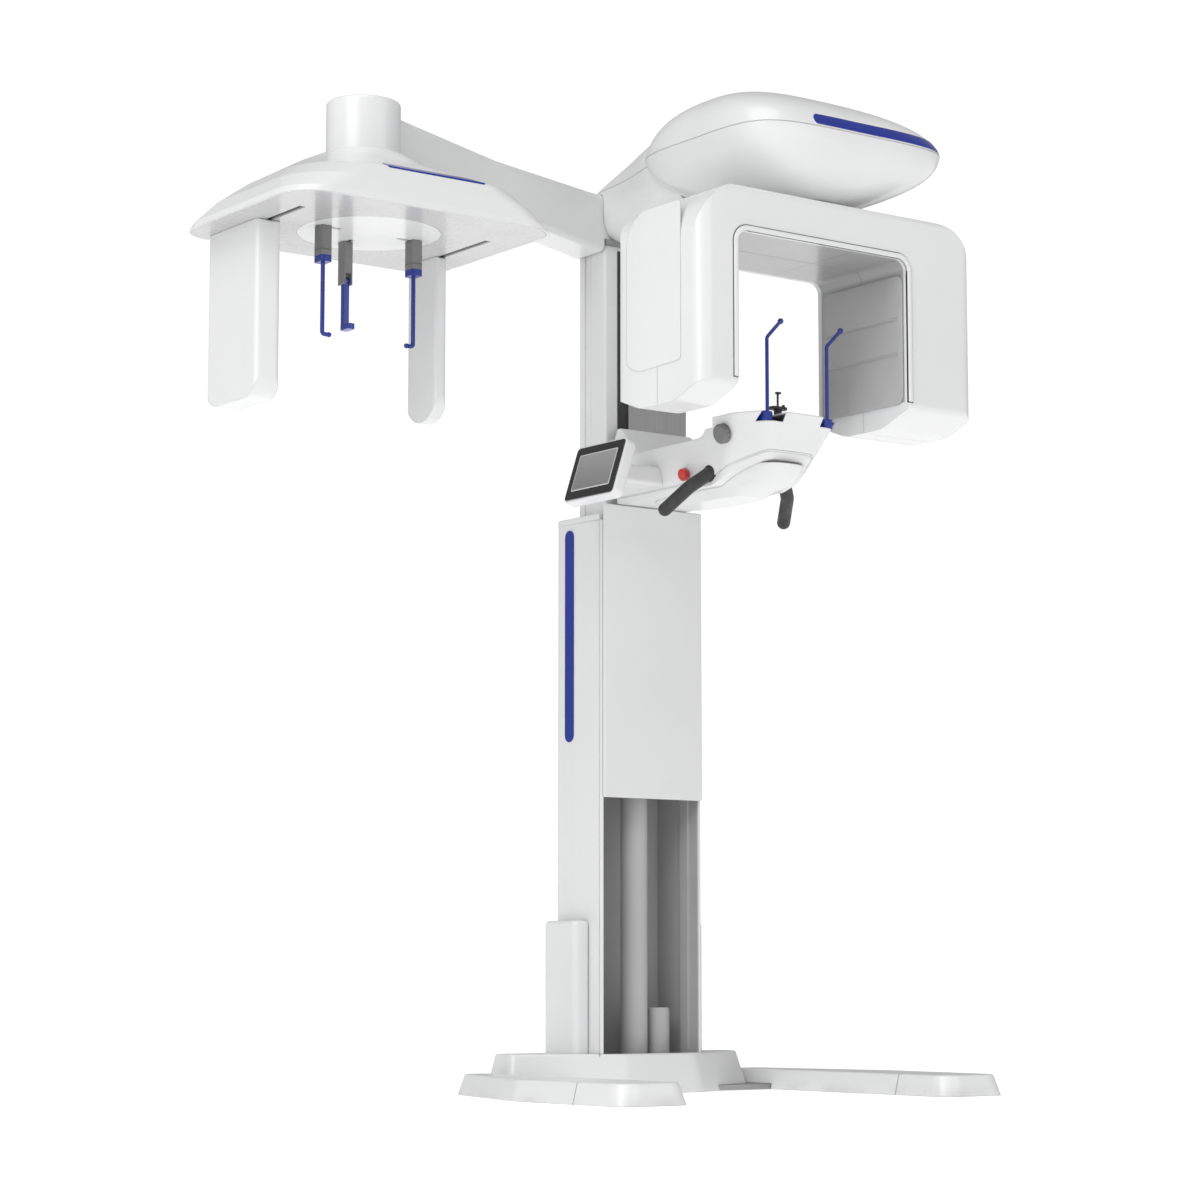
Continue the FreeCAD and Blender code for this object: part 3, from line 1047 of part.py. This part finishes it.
# ---------------------------------------------------------------- build and write
def build():
    make_legs()
    make_base()
    make_column()
    make_actuator()
    make_mast()
    make_boom()
    make_canopy()
    make_slide()
    make_gantry()
    make_support()
    make_handles()
    make_temples()
    make_support_controls()
    make_chin_rest()
    make_display()
    make_ceph_arm()
    make_hood()
    make_ceph_movers()
    os.makedirs("parts", exist_ok=True)
    for name, shape in NODES.items():
        shape.exportStep("parts/" + name + ".step")
    print(len(NODES), "nodes")
    for name, shape in NODES.items():
        if not shape.isValid():
            print("not valid:", name)


build()
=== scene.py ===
import bpy
import json
import math
from mathutils import Matrix, Vector

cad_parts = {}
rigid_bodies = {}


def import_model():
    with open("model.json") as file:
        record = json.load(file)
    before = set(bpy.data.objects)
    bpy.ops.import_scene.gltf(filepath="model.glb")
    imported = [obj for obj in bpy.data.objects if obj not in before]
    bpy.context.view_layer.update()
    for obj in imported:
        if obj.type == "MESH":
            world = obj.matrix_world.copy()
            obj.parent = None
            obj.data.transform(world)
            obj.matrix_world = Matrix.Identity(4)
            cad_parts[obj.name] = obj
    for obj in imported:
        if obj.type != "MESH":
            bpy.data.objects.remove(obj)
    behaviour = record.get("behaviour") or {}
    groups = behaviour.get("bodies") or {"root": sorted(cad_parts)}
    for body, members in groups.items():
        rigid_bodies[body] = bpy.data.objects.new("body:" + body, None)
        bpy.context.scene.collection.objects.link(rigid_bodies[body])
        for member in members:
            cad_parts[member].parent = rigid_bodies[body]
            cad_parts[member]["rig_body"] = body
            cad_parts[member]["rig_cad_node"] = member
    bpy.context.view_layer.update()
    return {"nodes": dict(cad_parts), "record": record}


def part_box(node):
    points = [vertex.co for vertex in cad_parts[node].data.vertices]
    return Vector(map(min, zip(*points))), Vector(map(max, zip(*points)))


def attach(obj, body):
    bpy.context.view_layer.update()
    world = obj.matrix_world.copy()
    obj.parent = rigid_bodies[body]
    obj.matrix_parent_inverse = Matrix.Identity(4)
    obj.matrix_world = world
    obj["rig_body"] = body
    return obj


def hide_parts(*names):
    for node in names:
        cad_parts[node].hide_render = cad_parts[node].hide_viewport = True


# Looks of a floor-standing panoramic x-ray machine, in metres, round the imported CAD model.
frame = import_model()
SLOT_OF = {part["node"]: part["material_slot"] for part in frame["record"]["subparts"]}
BODY_OF = {node: body for body, nodes in frame["record"]["behaviour"]["bodies"].items() for node in nodes}

CAMERA_PLACE = (-4.242, -5.687, 0.262)
CAMERA_HEADING = math.radians(36.3)
CAMERA_PITCH = math.radians(7.0)
CAMERA_LENS = 91.8
DISPLAY_TILT = math.radians(18.0)

# The gantry's window: its left side, right side and top, and the lower end of its lip.
WINDOW = (-0.286, 0.19, 1.82, 1.505)
WINDOW_ROUND = 0.026
LIP = 0.011
LIP_PROUD = 0.004
GASKET_W = 0.0022
GASKET_PROUD = 0.0009
TUNNEL_LIP = 0.012
TUNNEL_JOINT_X = 0.045
LINER_T = 0.0045
LINER_LOW_Z = 1.502
LEDGES = (1.612, 1.69)
LEDGE_H = 0.007


MAST_SLOT_X = -0.084
# Light strips. Canopy: left end, lower and upper edge, rear end of its cut. Hood: both ends, edges, rear end.
CANOPY_STRIP = (-0.09, 2.077, 2.099, -0.60)
HOOD_STRIP = (-1.024, -0.785, 1.881, 1.8945, -0.45)


# ---------------------------------------------------------------- finishes
class Field:
    """A value that varies over a surface. The usual arithmetic on it adds Math nodes."""

    def __init__(self, finish, socket):
        self.finish = finish
        self.socket = socket

    def maths(self, operation, first, second):
        return self.finish.node("ShaderNodeMath", {"operation": operation}, {0: first, 1: second})

    def __add__(self, other):
        return self.maths("ADD", self, other)

    def __radd__(self, other):
        return self.maths("ADD", other, self)

    def __sub__(self, other):
        return self.maths("SUBTRACT", self, other)

    def __rsub__(self, other):
        return self.maths("SUBTRACT", other, self)

    def __mul__(self, other):
        return self.maths("MULTIPLY", self, other)

    def __rmul__(self, other):
        return self.maths("MULTIPLY", other, self)

    def __gt__(self, other):
        return self.maths("GREATER_THAN", self, other)

    def __lt__(self, other):
        return self.maths("LESS_THAN", self, other)

    def __abs__(self):
        return self.maths("ABSOLUTE", self, 0.0)


class Finish:
    """The node tree of one material on Object coordinates."""

    def __init__(self, name, colour, roughness, **fixed):
        self.material = bpy.data.materials.new(name)
        self.material.use_nodes = True
        self.tree = self.material.node_tree
        self.shader = self.tree.nodes["Principled BSDF"]
        self.wear(colour=colour, roughness=roughness)
        for socket, value in fixed.items():
            self.shader.inputs[socket.replace("_", " ")].default_value = value
        self.place = self.node("ShaderNodeTexCoord", out="Object")
        self.edge = 0.0

    def node(self, kind, settings=None, values=None, out=0):
        """Adds one node: its settings first, then the values or links of its sockets."""
        made = self.tree.nodes.new(kind)
        for key, value in (settings or {}).items():
            setattr(made, key, value)
        for key, value in (values or {}).items():
            self.feed(made.inputs[key], value)
        return Field(self, made.outputs[out])

    def feed(self, socket, value):
        if isinstance(value, Field):
            self.tree.links.new(value.socket, socket)
        else:
            socket.default_value = value

    def wear(self, colour=None, roughness=None, normal=None):
        for socket, value in (("Base Color", colour), ("Roughness", roughness), ("Normal", normal)):
            if value is not None:
                self.feed(self.shader.inputs[socket], value)

    def noise(self, scale, detail=2.0, stretch=(1, 1, 1)):
        spot = self.node("ShaderNodeMapping", None, {"Vector": self.place, "Scale": stretch})
        return self.node("ShaderNodeTexNoise", None, {"Vector": spot, "Scale": scale, "Detail": detail})

    def axis(self, name):
        return self.node("ShaderNodeSeparateXYZ", None, {"Vector": self.place}, name)

    def ramp(self, value, low, high):
        """0 under low, 1 over high, smooth in between."""
        settings = {"interpolation_type": "SMOOTHSTEP"}
        return self.node("ShaderNodeMapRange", settings, {"Value": value, "From Min": low, "From Max": high})

    def mix(self, share, colour_a, colour_b):
        settings = {"data_type": "RGBA"}
        return self.node("ShaderNodeMix", settings, {0: share, 6: colour_a, 7: colour_b}, 2)

    def bump(self, height, depth, strength=1.0):
        values = {"Strength": strength, "Distance": depth, "Height": height}
        if self.edge:
            values["Normal"] = self.node("ShaderNodeBevel", {"samples": 6}, {"Radius": self.edge})
        return self.node("ShaderNodeBump", None, values)

    def line(self, axis, at, half):
        """1 on the line where the axis has the value, fading to 0 at half its width."""
        return 1.0 - self.ramp(abs(self.axis(axis) - at), 0.0, half)


def grey(value, warm=0.0):
    return (value + warm, value, value - warm, 1.0)


def moulded(name, light, dark, roughness, peel=0.00004, grain=420.0, **fixed):
    """Painted or moulded cover: softened edges, faint orange peel, slow changes of tone and gloss."""
    finish = Finish(name, light, roughness, **fixed)
    finish.edge = EDGE
    cloud = finish.noise(2.6, 3.0)
    smudge = finish.noise(14.0, 4.0)
    tone = finish.ramp(cloud, 0.35, 0.7) * 0.7 + finish.ramp(smudge, 0.5, 0.75) * 0.3
    finish.wear(colour=finish.mix(tone, light, dark))
    finish.wear(roughness=roughness + 0.05 * finish.ramp(smudge, 0.4, 0.7))
    finish.peel = finish.noise(grain, 2.0)
    finish.wear(normal=finish.bump(finish.peel, peel))
    return finish


def leg_paint():
    """White paint of the base with the joint of each leg's end cap and dust near the floor."""
    finish = moulded("leg_paint", WHITE, WHITE_DARK, 0.38, **COAT)
    height = finish.axis("Z")
    front = finish.line("Y", LEG_CAP_Y, 0.0025)
    dust = (1.0 - finish.ramp(height, 0.0, 0.03)) * finish.ramp(finish.noise(9.0, 5.0), 0.42, 0.65)
    painted = finish.mix(0.35 * dust, WHITE, grey(0.42, 0.01))
    finish.wear(colour=finish.mix(front * 0.7, painted, grey(0.2)))
    finish.wear(normal=finish.bump(finish.peel * 0.06 - front, 0.0012))
    return finish


def gantry_paint():
    """White cover paint; inside the tunnel between the arms it is painted grey as painted shade, with a fine
    joint across its ceiling.
    """
    finish = moulded("gantry_paint", WHITE, WHITE_DARK, 0.3, 0.00002, 260.0, **COAT)
    left, right, top, low = WINDOW
    front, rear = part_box("gantry_front_shell")[0].y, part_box("gantry_rear_shell")[1].y
    across, deep, high = finish.axis("X"), finish.axis("Y"), finish.axis("Z")
    # the tunnel between the arms, where the white is swapped for grey painted shade
    inside = (across > left + TUNNEL_LIP) * (across < right + 0.003) * (high < top + 0.003)
    inside = inside * (high > low) * (deep > front + TUNNEL_LIP) * (deep < rear - TUNNEL_LIP)
    joint = finish.line("X", TUNNEL_JOINT_X, 0.0012) * inside
    cloud = finish.ramp(finish.noise(2.6, 3.0), 0.35, 0.7)
    # painted shade: grey inside the tunnel in place of the white cover colour
    painted = finish.mix(inside, finish.mix(cloud, WHITE, WHITE_DARK), TUNNEL_SHADE)
    finish.wear(colour=finish.mix(joint, painted, GASKET))
    finish.wear(normal=finish.bump(finish.peel * 0.02 - joint, 0.001))
    return finish


def brushed(name, light, dark, along=(1, 1, 0.02), roughness=0.32):
    """Drawn or ground metal with fine streaks along one direction."""
    finish = Finish(name, light, roughness, Metallic=1.0)
    streak = finish.noise(260.0, 3.0, along)
    finish.wear(colour=finish.mix(streak, light, dark), roughness=roughness - 0.08 + 0.2 * streak)
    finish.wear(normal=finish.bump(streak, 0.00005))
    return finish


def grained(name, colour, lighter, roughness, depth=0.00025, scale=900.0):
    """Fine leather-like grain of a moulded grip or black plastic."""
    finish = Finish(name, colour, roughness)
    cell = finish.node("ShaderNodeTexVoronoi", None, {"Vector": finish.place, "Scale": scale})
    rub = finish.ramp(finish.noise(22.0, 4.0), 0.48, 0.72)
    finish.wear(colour=finish.mix(rub * 0.5 + cell * 0.2, colour, lighter))
    finish.wear(roughness=roughness - 0.14 * rub, normal=finish.bump(cell, depth))
    return finish


def light_guide(name):
    """Deep blue translucent strip with a brighter core, as an unlit or softly lit light guide."""
    finish = Finish(name, BLUE, 0.16, **COAT)
    core = finish.noise(7.0, 2.0, (1, 1, 0.4))
    finish.wear(colour=finish.mix(core, BLUE_DEEP, BLUE))
    finish.wear(normal=finish.bump(finish.noise(300.0), 0.00002))
    finish.shader.inputs["Emission Color"].default_value = BLUE_GLOW
    finish.shader.inputs["Emission Strength"].default_value = GUIDE_GLOW
    return finish


def rod_and_holder():
    """Grey holder above, blue moulded rod below, with a dark joint ring at the rod's root."""
    finish = moulded("rod_and_holder", HOLDER, HOLDER_DARK, 0.4)
    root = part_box("nasion_holder")[1].z - EAR_HOLDER_H
    holder = finish.ramp(finish.axis("Z"), root - 0.0004, root + 0.0004)
    ring = finish.line("Z", root + 0.012, 0.0015)
    tone = finish.noise(30.0, 3.0)
    rod = finish.mix(tone, BLUE_DEEP, BLUE)
    sleeve = finish.mix(tone, HOLDER, HOLDER_DARK)
    sleeve = finish.mix(ring * 0.8, sleeve, grey(0.02))
    finish.wear(colour=finish.mix(holder, rod, sleeve), roughness=0.22 + 0.2 * holder)
    finish.wear(normal=finish.bump(finish.peel * 0.05 - ring, 0.0006))
    return finish


def toothed_rubber():
    finish = Finish("toothed_rubber", grey(0.02), 0.75)
    settings = {"bands_direction": "X"}
    wave = finish.node("ShaderNodeTexWave", settings, {"Vector": finish.place, "Scale": 320.0})
    finish.wear(colour=finish.mix(finish.noise(60.0), grey(0.015), grey(0.04)))
    finish.wear(normal=finish.bump(wave, 0.0006))
    return finish


def screen_glass():
    """Black front glass with faint fingerprints."""
    finish = Finish("screen_glass", grey(0.006), 0.08, **COAT)
    print_mark = finish.ramp(finish.noise(26.0, 5.0), 0.52, 0.7)
    finish.wear(colour=finish.mix(print_mark * 0.4, grey(0.005), grey(0.02)))
    finish.wear(roughness=0.07 + 0.16 * print_mark, normal=finish.bump(finish.noise(2.0), 0.0001))
    return finish


def picture_panel():
    """Lit but empty display area: soft grey with a paler top and a fine dot grain."""
    finish = Finish("picture_panel", grey(0.28), 0.2, **COAT)
    fade = finish.ramp(finish.axis("Z"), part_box("display_screen")[0].z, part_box("display_screen")[1].z)
    shade = finish.mix(fade, grey(0.2), grey(0.33))
    dots = finish.noise(900.0, 1.0)
    finish.wear(colour=finish.mix(dots * 0.15, shade, grey(0.1)), roughness=0.16 + 0.06 * dots)
    finish.wear(normal=finish.bump(dots, 0.00002))
    return finish


def make_finishes():
    made = {
        "white_shell": moulded("white_shell", WHITE, WHITE_DARK, 0.3, 0.00002, 260.0, **COAT),
        "white_paint": moulded("white_paint", WHITE, WHITE_DARK, 0.38, **COAT),
        "grey_paint": moulded("grey_paint", RECESS, RECESS_DARK, 0.45),
        "aluminium": brushed("aluminium", grey(0.62), grey(0.45)),
        "steel": brushed("steel", grey(0.45), grey(0.3), (0.02, 1, 1)),
        "blue_light": light_guide("blue_light"),
        "blue_plastic": moulded("blue_plastic", BLUE, BLUE_DEEP, 0.24, **COAT),
        "black_glass": screen_glass(),
        "black_grip": grained("black_grip", grey(0.02), grey(0.055), 0.5),
        "black_plastic": grained("black_plastic", grey(0.025), grey(0.06), 0.45, 0.0001, 1500.0),
        "grey_plastic": moulded("grey_plastic", HOLDER, HOLDER_DARK, 0.42, 0.00006, 700.0),
        "red_button": moulded("red_button", (0.62, 0.02, 0.015, 1), (0.4, 0.01, 0.01, 1), 0.28, **COAT),
        "belt_rubber": toothed_rubber(),
    }
    return {slot: finish.material for slot, finish in made.items()}


EDGE = 0.004
WHITE = grey(0.74, -0.003)
WHITE_DARK = grey(0.71, -0.003)
RECESS = grey(0.44)
RECESS_DARK = grey(0.38)
# painted shade: grey of the tunnel between the gantry's arms
TUNNEL_SHADE = grey(0.36)
# painted shade: undersides greyer than the white covers, standing in for the dimmer light from below
SHADED_UNDERSIDE = grey(0.5)
SHADED_UNDERSIDE_DARK = grey(0.44)
GASKET = grey(0.1)
HOLDER = grey(0.2)
HOLDER_DARK = grey(0.13)
BLUE = (0.008, 0.03, 0.29, 1.0)
BLUE_DEEP = (0.005, 0.016, 0.17, 1.0)
BLUE_GLOW = (0.01, 0.05, 0.6, 1.0)
GUIDE_GLOW = 0.06
COAT = {"Coat_Weight": 0.35, "Coat_Roughness": 0.08}
LEG_CAP_Y = -0.546
EAR_HOLDER_H = 0.0765


# ---------------------------------------------------------------- modelling helpers
def clean_start():
    if bpy.context.object and bpy.context.object.mode != "OBJECT":
        bpy.ops.object.mode_set(mode="OBJECT")
    bpy.ops.object.select_all(action="DESELECT")


def pick(piece):
    clean_start()
    piece.select_set(True)
    bpy.context.view_layer.objects.active = piece


def settle(piece):
    """Puts the piece's place into its mesh."""
    pick(piece)
    bpy.ops.object.transform_apply(location=True, rotation=True, scale=True)


def apply_modifier(piece, kind, **settings):
    pick(piece)
    modifier = piece.modifiers.new(kind.lower(), kind)
    for key, value in settings.items():
        setattr(modifier, key, value)
    bpy.ops.object.modifier_apply(modifier=modifier.name)


def block(name, low, high, round_r=0.0, segments=4):
    """A block between two corners with its edges rounded."""
    clean_start()
    low, high = Vector(low), Vector(high)
    bpy.ops.mesh.primitive_cube_add(size=1, location=(low + high) / 2)
    piece = bpy.context.object
    piece.name = name
    piece.scale = high - low
    settle(piece)
    if round_r:
        apply_modifier(piece, "BEVEL", width=round_r, segments=segments, limit_method="NONE")
    return piece


def select_edges(piece, wanted):
    """Selects, in edit mode, the edges for which wanted(start, end) is true."""
    pick(piece)
    bpy.ops.object.mode_set(mode="EDIT")
    bpy.ops.mesh.select_mode(type="EDGE")
    bpy.ops.mesh.select_all(action="DESELECT")
    bpy.ops.object.mode_set(mode="OBJECT")
    spots = piece.data.vertices
    for edge in piece.data.edges:
        edge.select = wanted(spots[edge.vertices[0]].co, spots[edge.vertices[1]].co)
    bpy.ops.object.mode_set(mode="EDIT")


def round_along(piece, axis, radius, segments=8):
    """Rounds the edges that run along one axis."""
    others = [i for i in range(3) if i != axis]
    select_edges(piece, lambda a, b: all(abs(a[i] - b[i]) < 1e-6 for i in others))
    bpy.ops.mesh.bevel(offset=radius, segments=segments, affect="EDGES")
    bpy.ops.object.mode_set(mode="OBJECT")


def finish_piece(piece, body, material, angle=35):
    pick(piece)
    bpy.ops.object.shade_smooth_by_angle(angle=math.radians(angle))
    piece.data.materials.clear()
    piece.data.materials.append(material)
    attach(piece, body)
    return piece


def skin_of(node, name):
    """A merged copy of a CAD node's mesh."""
    source = frame["nodes"][node]
    pick(source)
    bpy.ops.object.duplicate()
    piece = bpy.context.object
    piece.name = name
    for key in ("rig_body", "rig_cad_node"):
        del piece[key]
    piece.parent = None
    pick(piece)
    bpy.ops.object.mode_set(mode="EDIT")
    bpy.ops.mesh.select_all(action="SELECT")
    bpy.ops.mesh.remove_doubles(threshold=0.00001)
    bpy.ops.object.mode_set(mode="OBJECT")
    return piece


def inlaid(node, name, cutter, proud):
    """The part of a cover inside the cutter, standing proud of the cover all round."""
    piece = skin_of(node, name)
    apply_modifier(piece, "BOOLEAN", operation="INTERSECT", object=cutter, solver="EXACT")
    bpy.data.objects.remove(cutter)
    bpy.ops.object.mode_set(mode="EDIT")
    bpy.ops.mesh.select_all(action="SELECT")
    bpy.ops.transform.shrink_fatten(value=proud)
    bpy.ops.object.mode_set(mode="OBJECT")
    return piece


# ---------------------------------------------------------------- new pieces
def make_light_strips(finishes):
    """Blue light guides let into the canopy's front and into the cephalometric hood's front."""
    low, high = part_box("canopy_upper_shell")
    left, bottom, top, rear = CANOPY_STRIP
    cutter = block("canopy_cut", (left, low.y - 0.02, bottom), (high.x + 0.08, rear, top))
    round_along(cutter, 1, 0.0105)
    strip = inlaid("canopy_upper_shell", "canopy_light_strip", cutter, 0.0012)
    finish_piece(strip, "carriage", finishes["blue_light"])
    low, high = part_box("ceph_hood")
    left, right, bottom, top, rear = HOOD_STRIP
    cutter = block("hood_cut", (left, low.y - 0.02, bottom), (right, rear, top))
    round_along(cutter, 1, 0.0064)
    strip = inlaid("ceph_hood", "hood_light_strip", cutter, 0.001)
    finish_piece(strip, "carriage", finishes["blue_light"])


def make_slot_liner(finishes):
    """Black cable cover in the mast's front slot, with a raised rim."""
    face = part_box("mast_tube")[0].y
    strip_low, strip_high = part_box("mast_front_profile")
    corner = (strip_low.x, face + 0.004, strip_high.z)
    liner = block("mast_cable_cover", (MAST_SLOT_X, face - 0.002, strip_low.z), corner)
    round_along(liner, 1, 0.004, 4)
    select_front(liner, 1, -1)
    bpy.ops.mesh.inset(thickness=0.003, depth=0)
    bpy.ops.mesh.inset(thickness=0.0008, depth=-0.002)
    bpy.ops.object.mode_set(mode="OBJECT")
    finish_piece(liner, "carriage", finishes["black_plastic"])


def select_front(piece, axis, sign):
    """Selects, in edit mode, the faces that look along one axis."""
    pick(piece)
    bpy.ops.object.mode_set(mode="EDIT")
    bpy.ops.mesh.select_mode(type="FACE")
    bpy.ops.mesh.select_all(action="DESELECT")
    bpy.ops.object.mode_set(mode="OBJECT")
    for face in piece.data.polygons:
        face.select = face.normal[axis] * sign > 0.9
    bpy.ops.object.mode_set(mode="EDIT")


def make_picture(finishes):
    """The display's lit area with its pale frame, just proud of the glass."""
    low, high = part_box("display_screen")
    wide = (high.y - low.y) / 2
    tall = (high.z - low.z) / 2 / math.cos(DISPLAY_TILT) - 0.002
    centre = (low + high) / 2
    out = Vector((-math.cos(DISPLAY_TILT), 0, math.sin(DISPLAY_TILT)))
    turn = Matrix.Rotation(DISPLAY_TILT, 4, "Y")
    for name, edge, proud, slot in (("display_frame", 0.018, 0.0016, "white_shell"),
                                    ("display_picture", 0.0205, 0.0019, "grey_plastic")):
        half = Vector((0.0006, wide - edge, tall - edge))
        piece = block(name, -half, half)
        round_along(piece, 0, 0.003, 4)
        piece.data.transform(Matrix.Translation(centre + out * proud) @ turn)
        material = finishes["picture"] if name == "display_picture" else finishes[slot]
        finish_piece(piece, "carriage", material)


def cut_away(piece, cutter):
    apply_modifier(piece, "BOOLEAN", operation="DIFFERENCE", object=cutter, solver="EXACT")
    bpy.data.objects.remove(cutter)


def soften(piece, width):
    """Rounds the sharp edges of a piece."""
    sharp = math.radians(40)
    apply_modifier(piece, "BEVEL", width=width, segments=3, limit_method="ANGLE", angle_limit=sharp)


def make_window_frame(name, wider, proud, material):
    """A frame round the front edge of the gantry's window; its legs end above the arms' chins."""
    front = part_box("gantry_front_shell")[0].y
    left, right, top, low = WINDOW
    band = LIP + wider
    corner = (right + band, front + LIP_PROUD, top + band)
    piece = block(name, (left - band, front - proud, low - wider), corner)
    select_edges(piece, lambda a, b: abs(a.x - b.x) < 1e-6 and abs(a.z - b.z) < 1e-6 and a.z > low + 0.01)
    bpy.ops.mesh.bevel(offset=WINDOW_ROUND + band, segments=10, affect="EDGES")
    bpy.ops.object.mode_set(mode="OBJECT")
    opening = block("opening", (left, front - 0.1, low - 0.1), (right, front + 0.1, top))
    round_along(opening, 1, WINDOW_ROUND, 10)
    cut_away(piece, opening)
    if not wider:
        soften(piece, 0.0016)
    finish_piece(piece, "gantry", material)


def make_window_lip(finishes):
    """Raised lip round the gantry's window, in a thin dark gasket."""
    make_window_frame("window_gasket", GASKET_W, GASKET_PROUD, finishes["gasket"])
    make_window_frame("window_lip", 0.0, LIP_PROUD, finishes["white_shell"])


def make_detector_liner(finishes):
    """Liner of the right arm's inner side with two ledges in front of the detector; its grey is painted shade
    of the arm's white inner wall.
    """
    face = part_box("detector_window")[1].x
    front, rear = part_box("gantry_front_shell")[0].y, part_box("gantry_rear_shell")[1].y
    low = (face - LINER_T, front + 0.014, LINER_LOW_Z)
    liner = block("detector_shade_liner", low, (face - 0.0002, rear - 0.02, WINDOW[2] - 0.03))
    round_along(liner, 0, 0.02, 6)
    for z in LEDGES:
        groove = block("groove", (face - 0.01, front + 0.03, z), (face - 0.0025, rear - 0.036, z + LEDGE_H))
        cut_away(liner, groove)
    soften(liner, 0.0008)
    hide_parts("detector_window")
    # painted shade: the liner's grey stands in for the shade on the arm's inner wall
    finish_piece(liner, "gantry", finishes["liner"])


# ---------------------------------------------------------------- assembly
def paint_nodes(finishes):
    own = {"leg_covers": finishes["leg_paint"], "ear_rod_left": finishes["rod_and_holder"],
           "ear_rod_right": finishes["rod_and_holder"], "lift_actuator_tube": finishes["grey_paint"],
           "lift_motor": finishes["grey_paint"], "ceph_underplate": finishes["underside"],
           "gantry_front_shell": finishes["gantry_paint"], "gantry_rear_shell": finishes["gantry_paint"]}
    for name, node in frame["nodes"].items():
        node.data.materials.clear()
        node.data.materials.append(own.get(name, finishes[SLOT_OF[name]]))


def make_room():
    """Pale floor, white surroundings and soft studio lights."""
    clean_start()
    bpy.ops.mesh.primitive_plane_add(size=90, location=(0, 0, -0.0006))
    floor = bpy.context.object
    floor.name = "floor"
    settle(floor)
    pale = Finish("floor_white", grey(0.9), 0.6)
    pale.shader.inputs["Emission Color"].default_value = grey(1.0)
    pale.shader.inputs["Emission Strength"].default_value = FLOOR_GLOW
    pale.wear(roughness=0.6 + 0.1 * pale.noise(3.0))
    floor.data.materials.append(pale.material)
    make_world()
    for name, kind, place, energy, spread in LIGHTS:
        data = bpy.data.lights.new(name, kind)
        data.energy = energy
        if kind == "SUN":
            data.angle = spread
        else:
            data.size = spread
        lamp = bpy.data.objects.new(name, data)
        lamp.location = place
        aim = LIGHTS_AIM - Vector(place)
        lamp.rotation_mode = "QUATERNION"
        lamp.rotation_quaternion = aim.to_track_quat("-Z", "Y")
        bpy.context.scene.collection.objects.link(lamp)


def make_world():
    """White backdrop that lights the machine more softly than it looks."""
    world = bpy.data.worlds.new("studio")
    world.use_nodes = True
    tree = world.node_tree
    back = tree.nodes["Background"]
    back.inputs["Color"].default_value = grey(1.0)
    seen = tree.nodes.new("ShaderNodeLightPath")
    level = tree.nodes.new("ShaderNodeMapRange")
    level.inputs["To Min"].default_value = AMBIENT
    level.inputs["To Max"].default_value = BACKDROP
    tree.links.new(seen.outputs["Is Camera Ray"], level.inputs["Value"])
    tree.links.new(level.outputs["Result"], back.inputs["Strength"])
    bpy.context.scene.world = world


AMBIENT = 0.36
BACKDROP = 1.05
FLOOR_GLOW = 0.45
LIGHTS_AIM = Vector((-0.2, -0.4, 1.2))
LIGHTS = (
    ("top", "SUN", (-3.0, -2.2, 7.0), 1.45, math.radians(60)),
    ("key", "AREA", (-4.5, -2.0, 3.4), 62.0, 2.6),
    ("front", "AREA", (1.5, -5.5, 2.6), 28.0, 3.0),
)


def make_camera():
    data = bpy.data.cameras.new("camera")
    data.lens = CAMERA_LENS
    data.sensor_width = 36.0
    data.clip_end = 100.0
    camera = bpy.data.objects.new("camera", data)
    camera.location = CAMERA_PLACE
    camera.rotation_euler = (math.pi / 2 + CAMERA_PITCH, 0, -CAMERA_HEADING)
    bpy.context.scene.collection.objects.link(camera)
    bpy.context.scene.camera = camera


def make_all():
    make_camera()
    make_room()
    finishes = make_finishes()
    finishes["leg_paint"] = leg_paint().material
    finishes["rod_and_holder"] = rod_and_holder().material
    finishes["picture"] = picture_panel().material
    finishes["gantry_paint"] = gantry_paint().material
    finishes["gasket"] = grained("gasket", GASKET, grey(0.14), 0.6).material
    # painted shade: the hood's underplate greyer than the white covers
    finishes["underside"] = moulded("underside", SHADED_UNDERSIDE, SHADED_UNDERSIDE_DARK, 0.25, **COAT).material
    # painted shade: grey of the liner on the right arm's inner wall
    finishes["liner"] = moulded("liner", RECESS, RECESS_DARK, 0.4, 0.00005, 600.0).material
    paint_nodes(finishes)
    make_light_strips(finishes)
    make_slot_liner(finishes)
    make_picture(finishes)
    make_window_lip(finishes)
    make_detector_liner(finishes)
    bpy.context.scene.view_settings.view_transform = "Standard"


make_all()
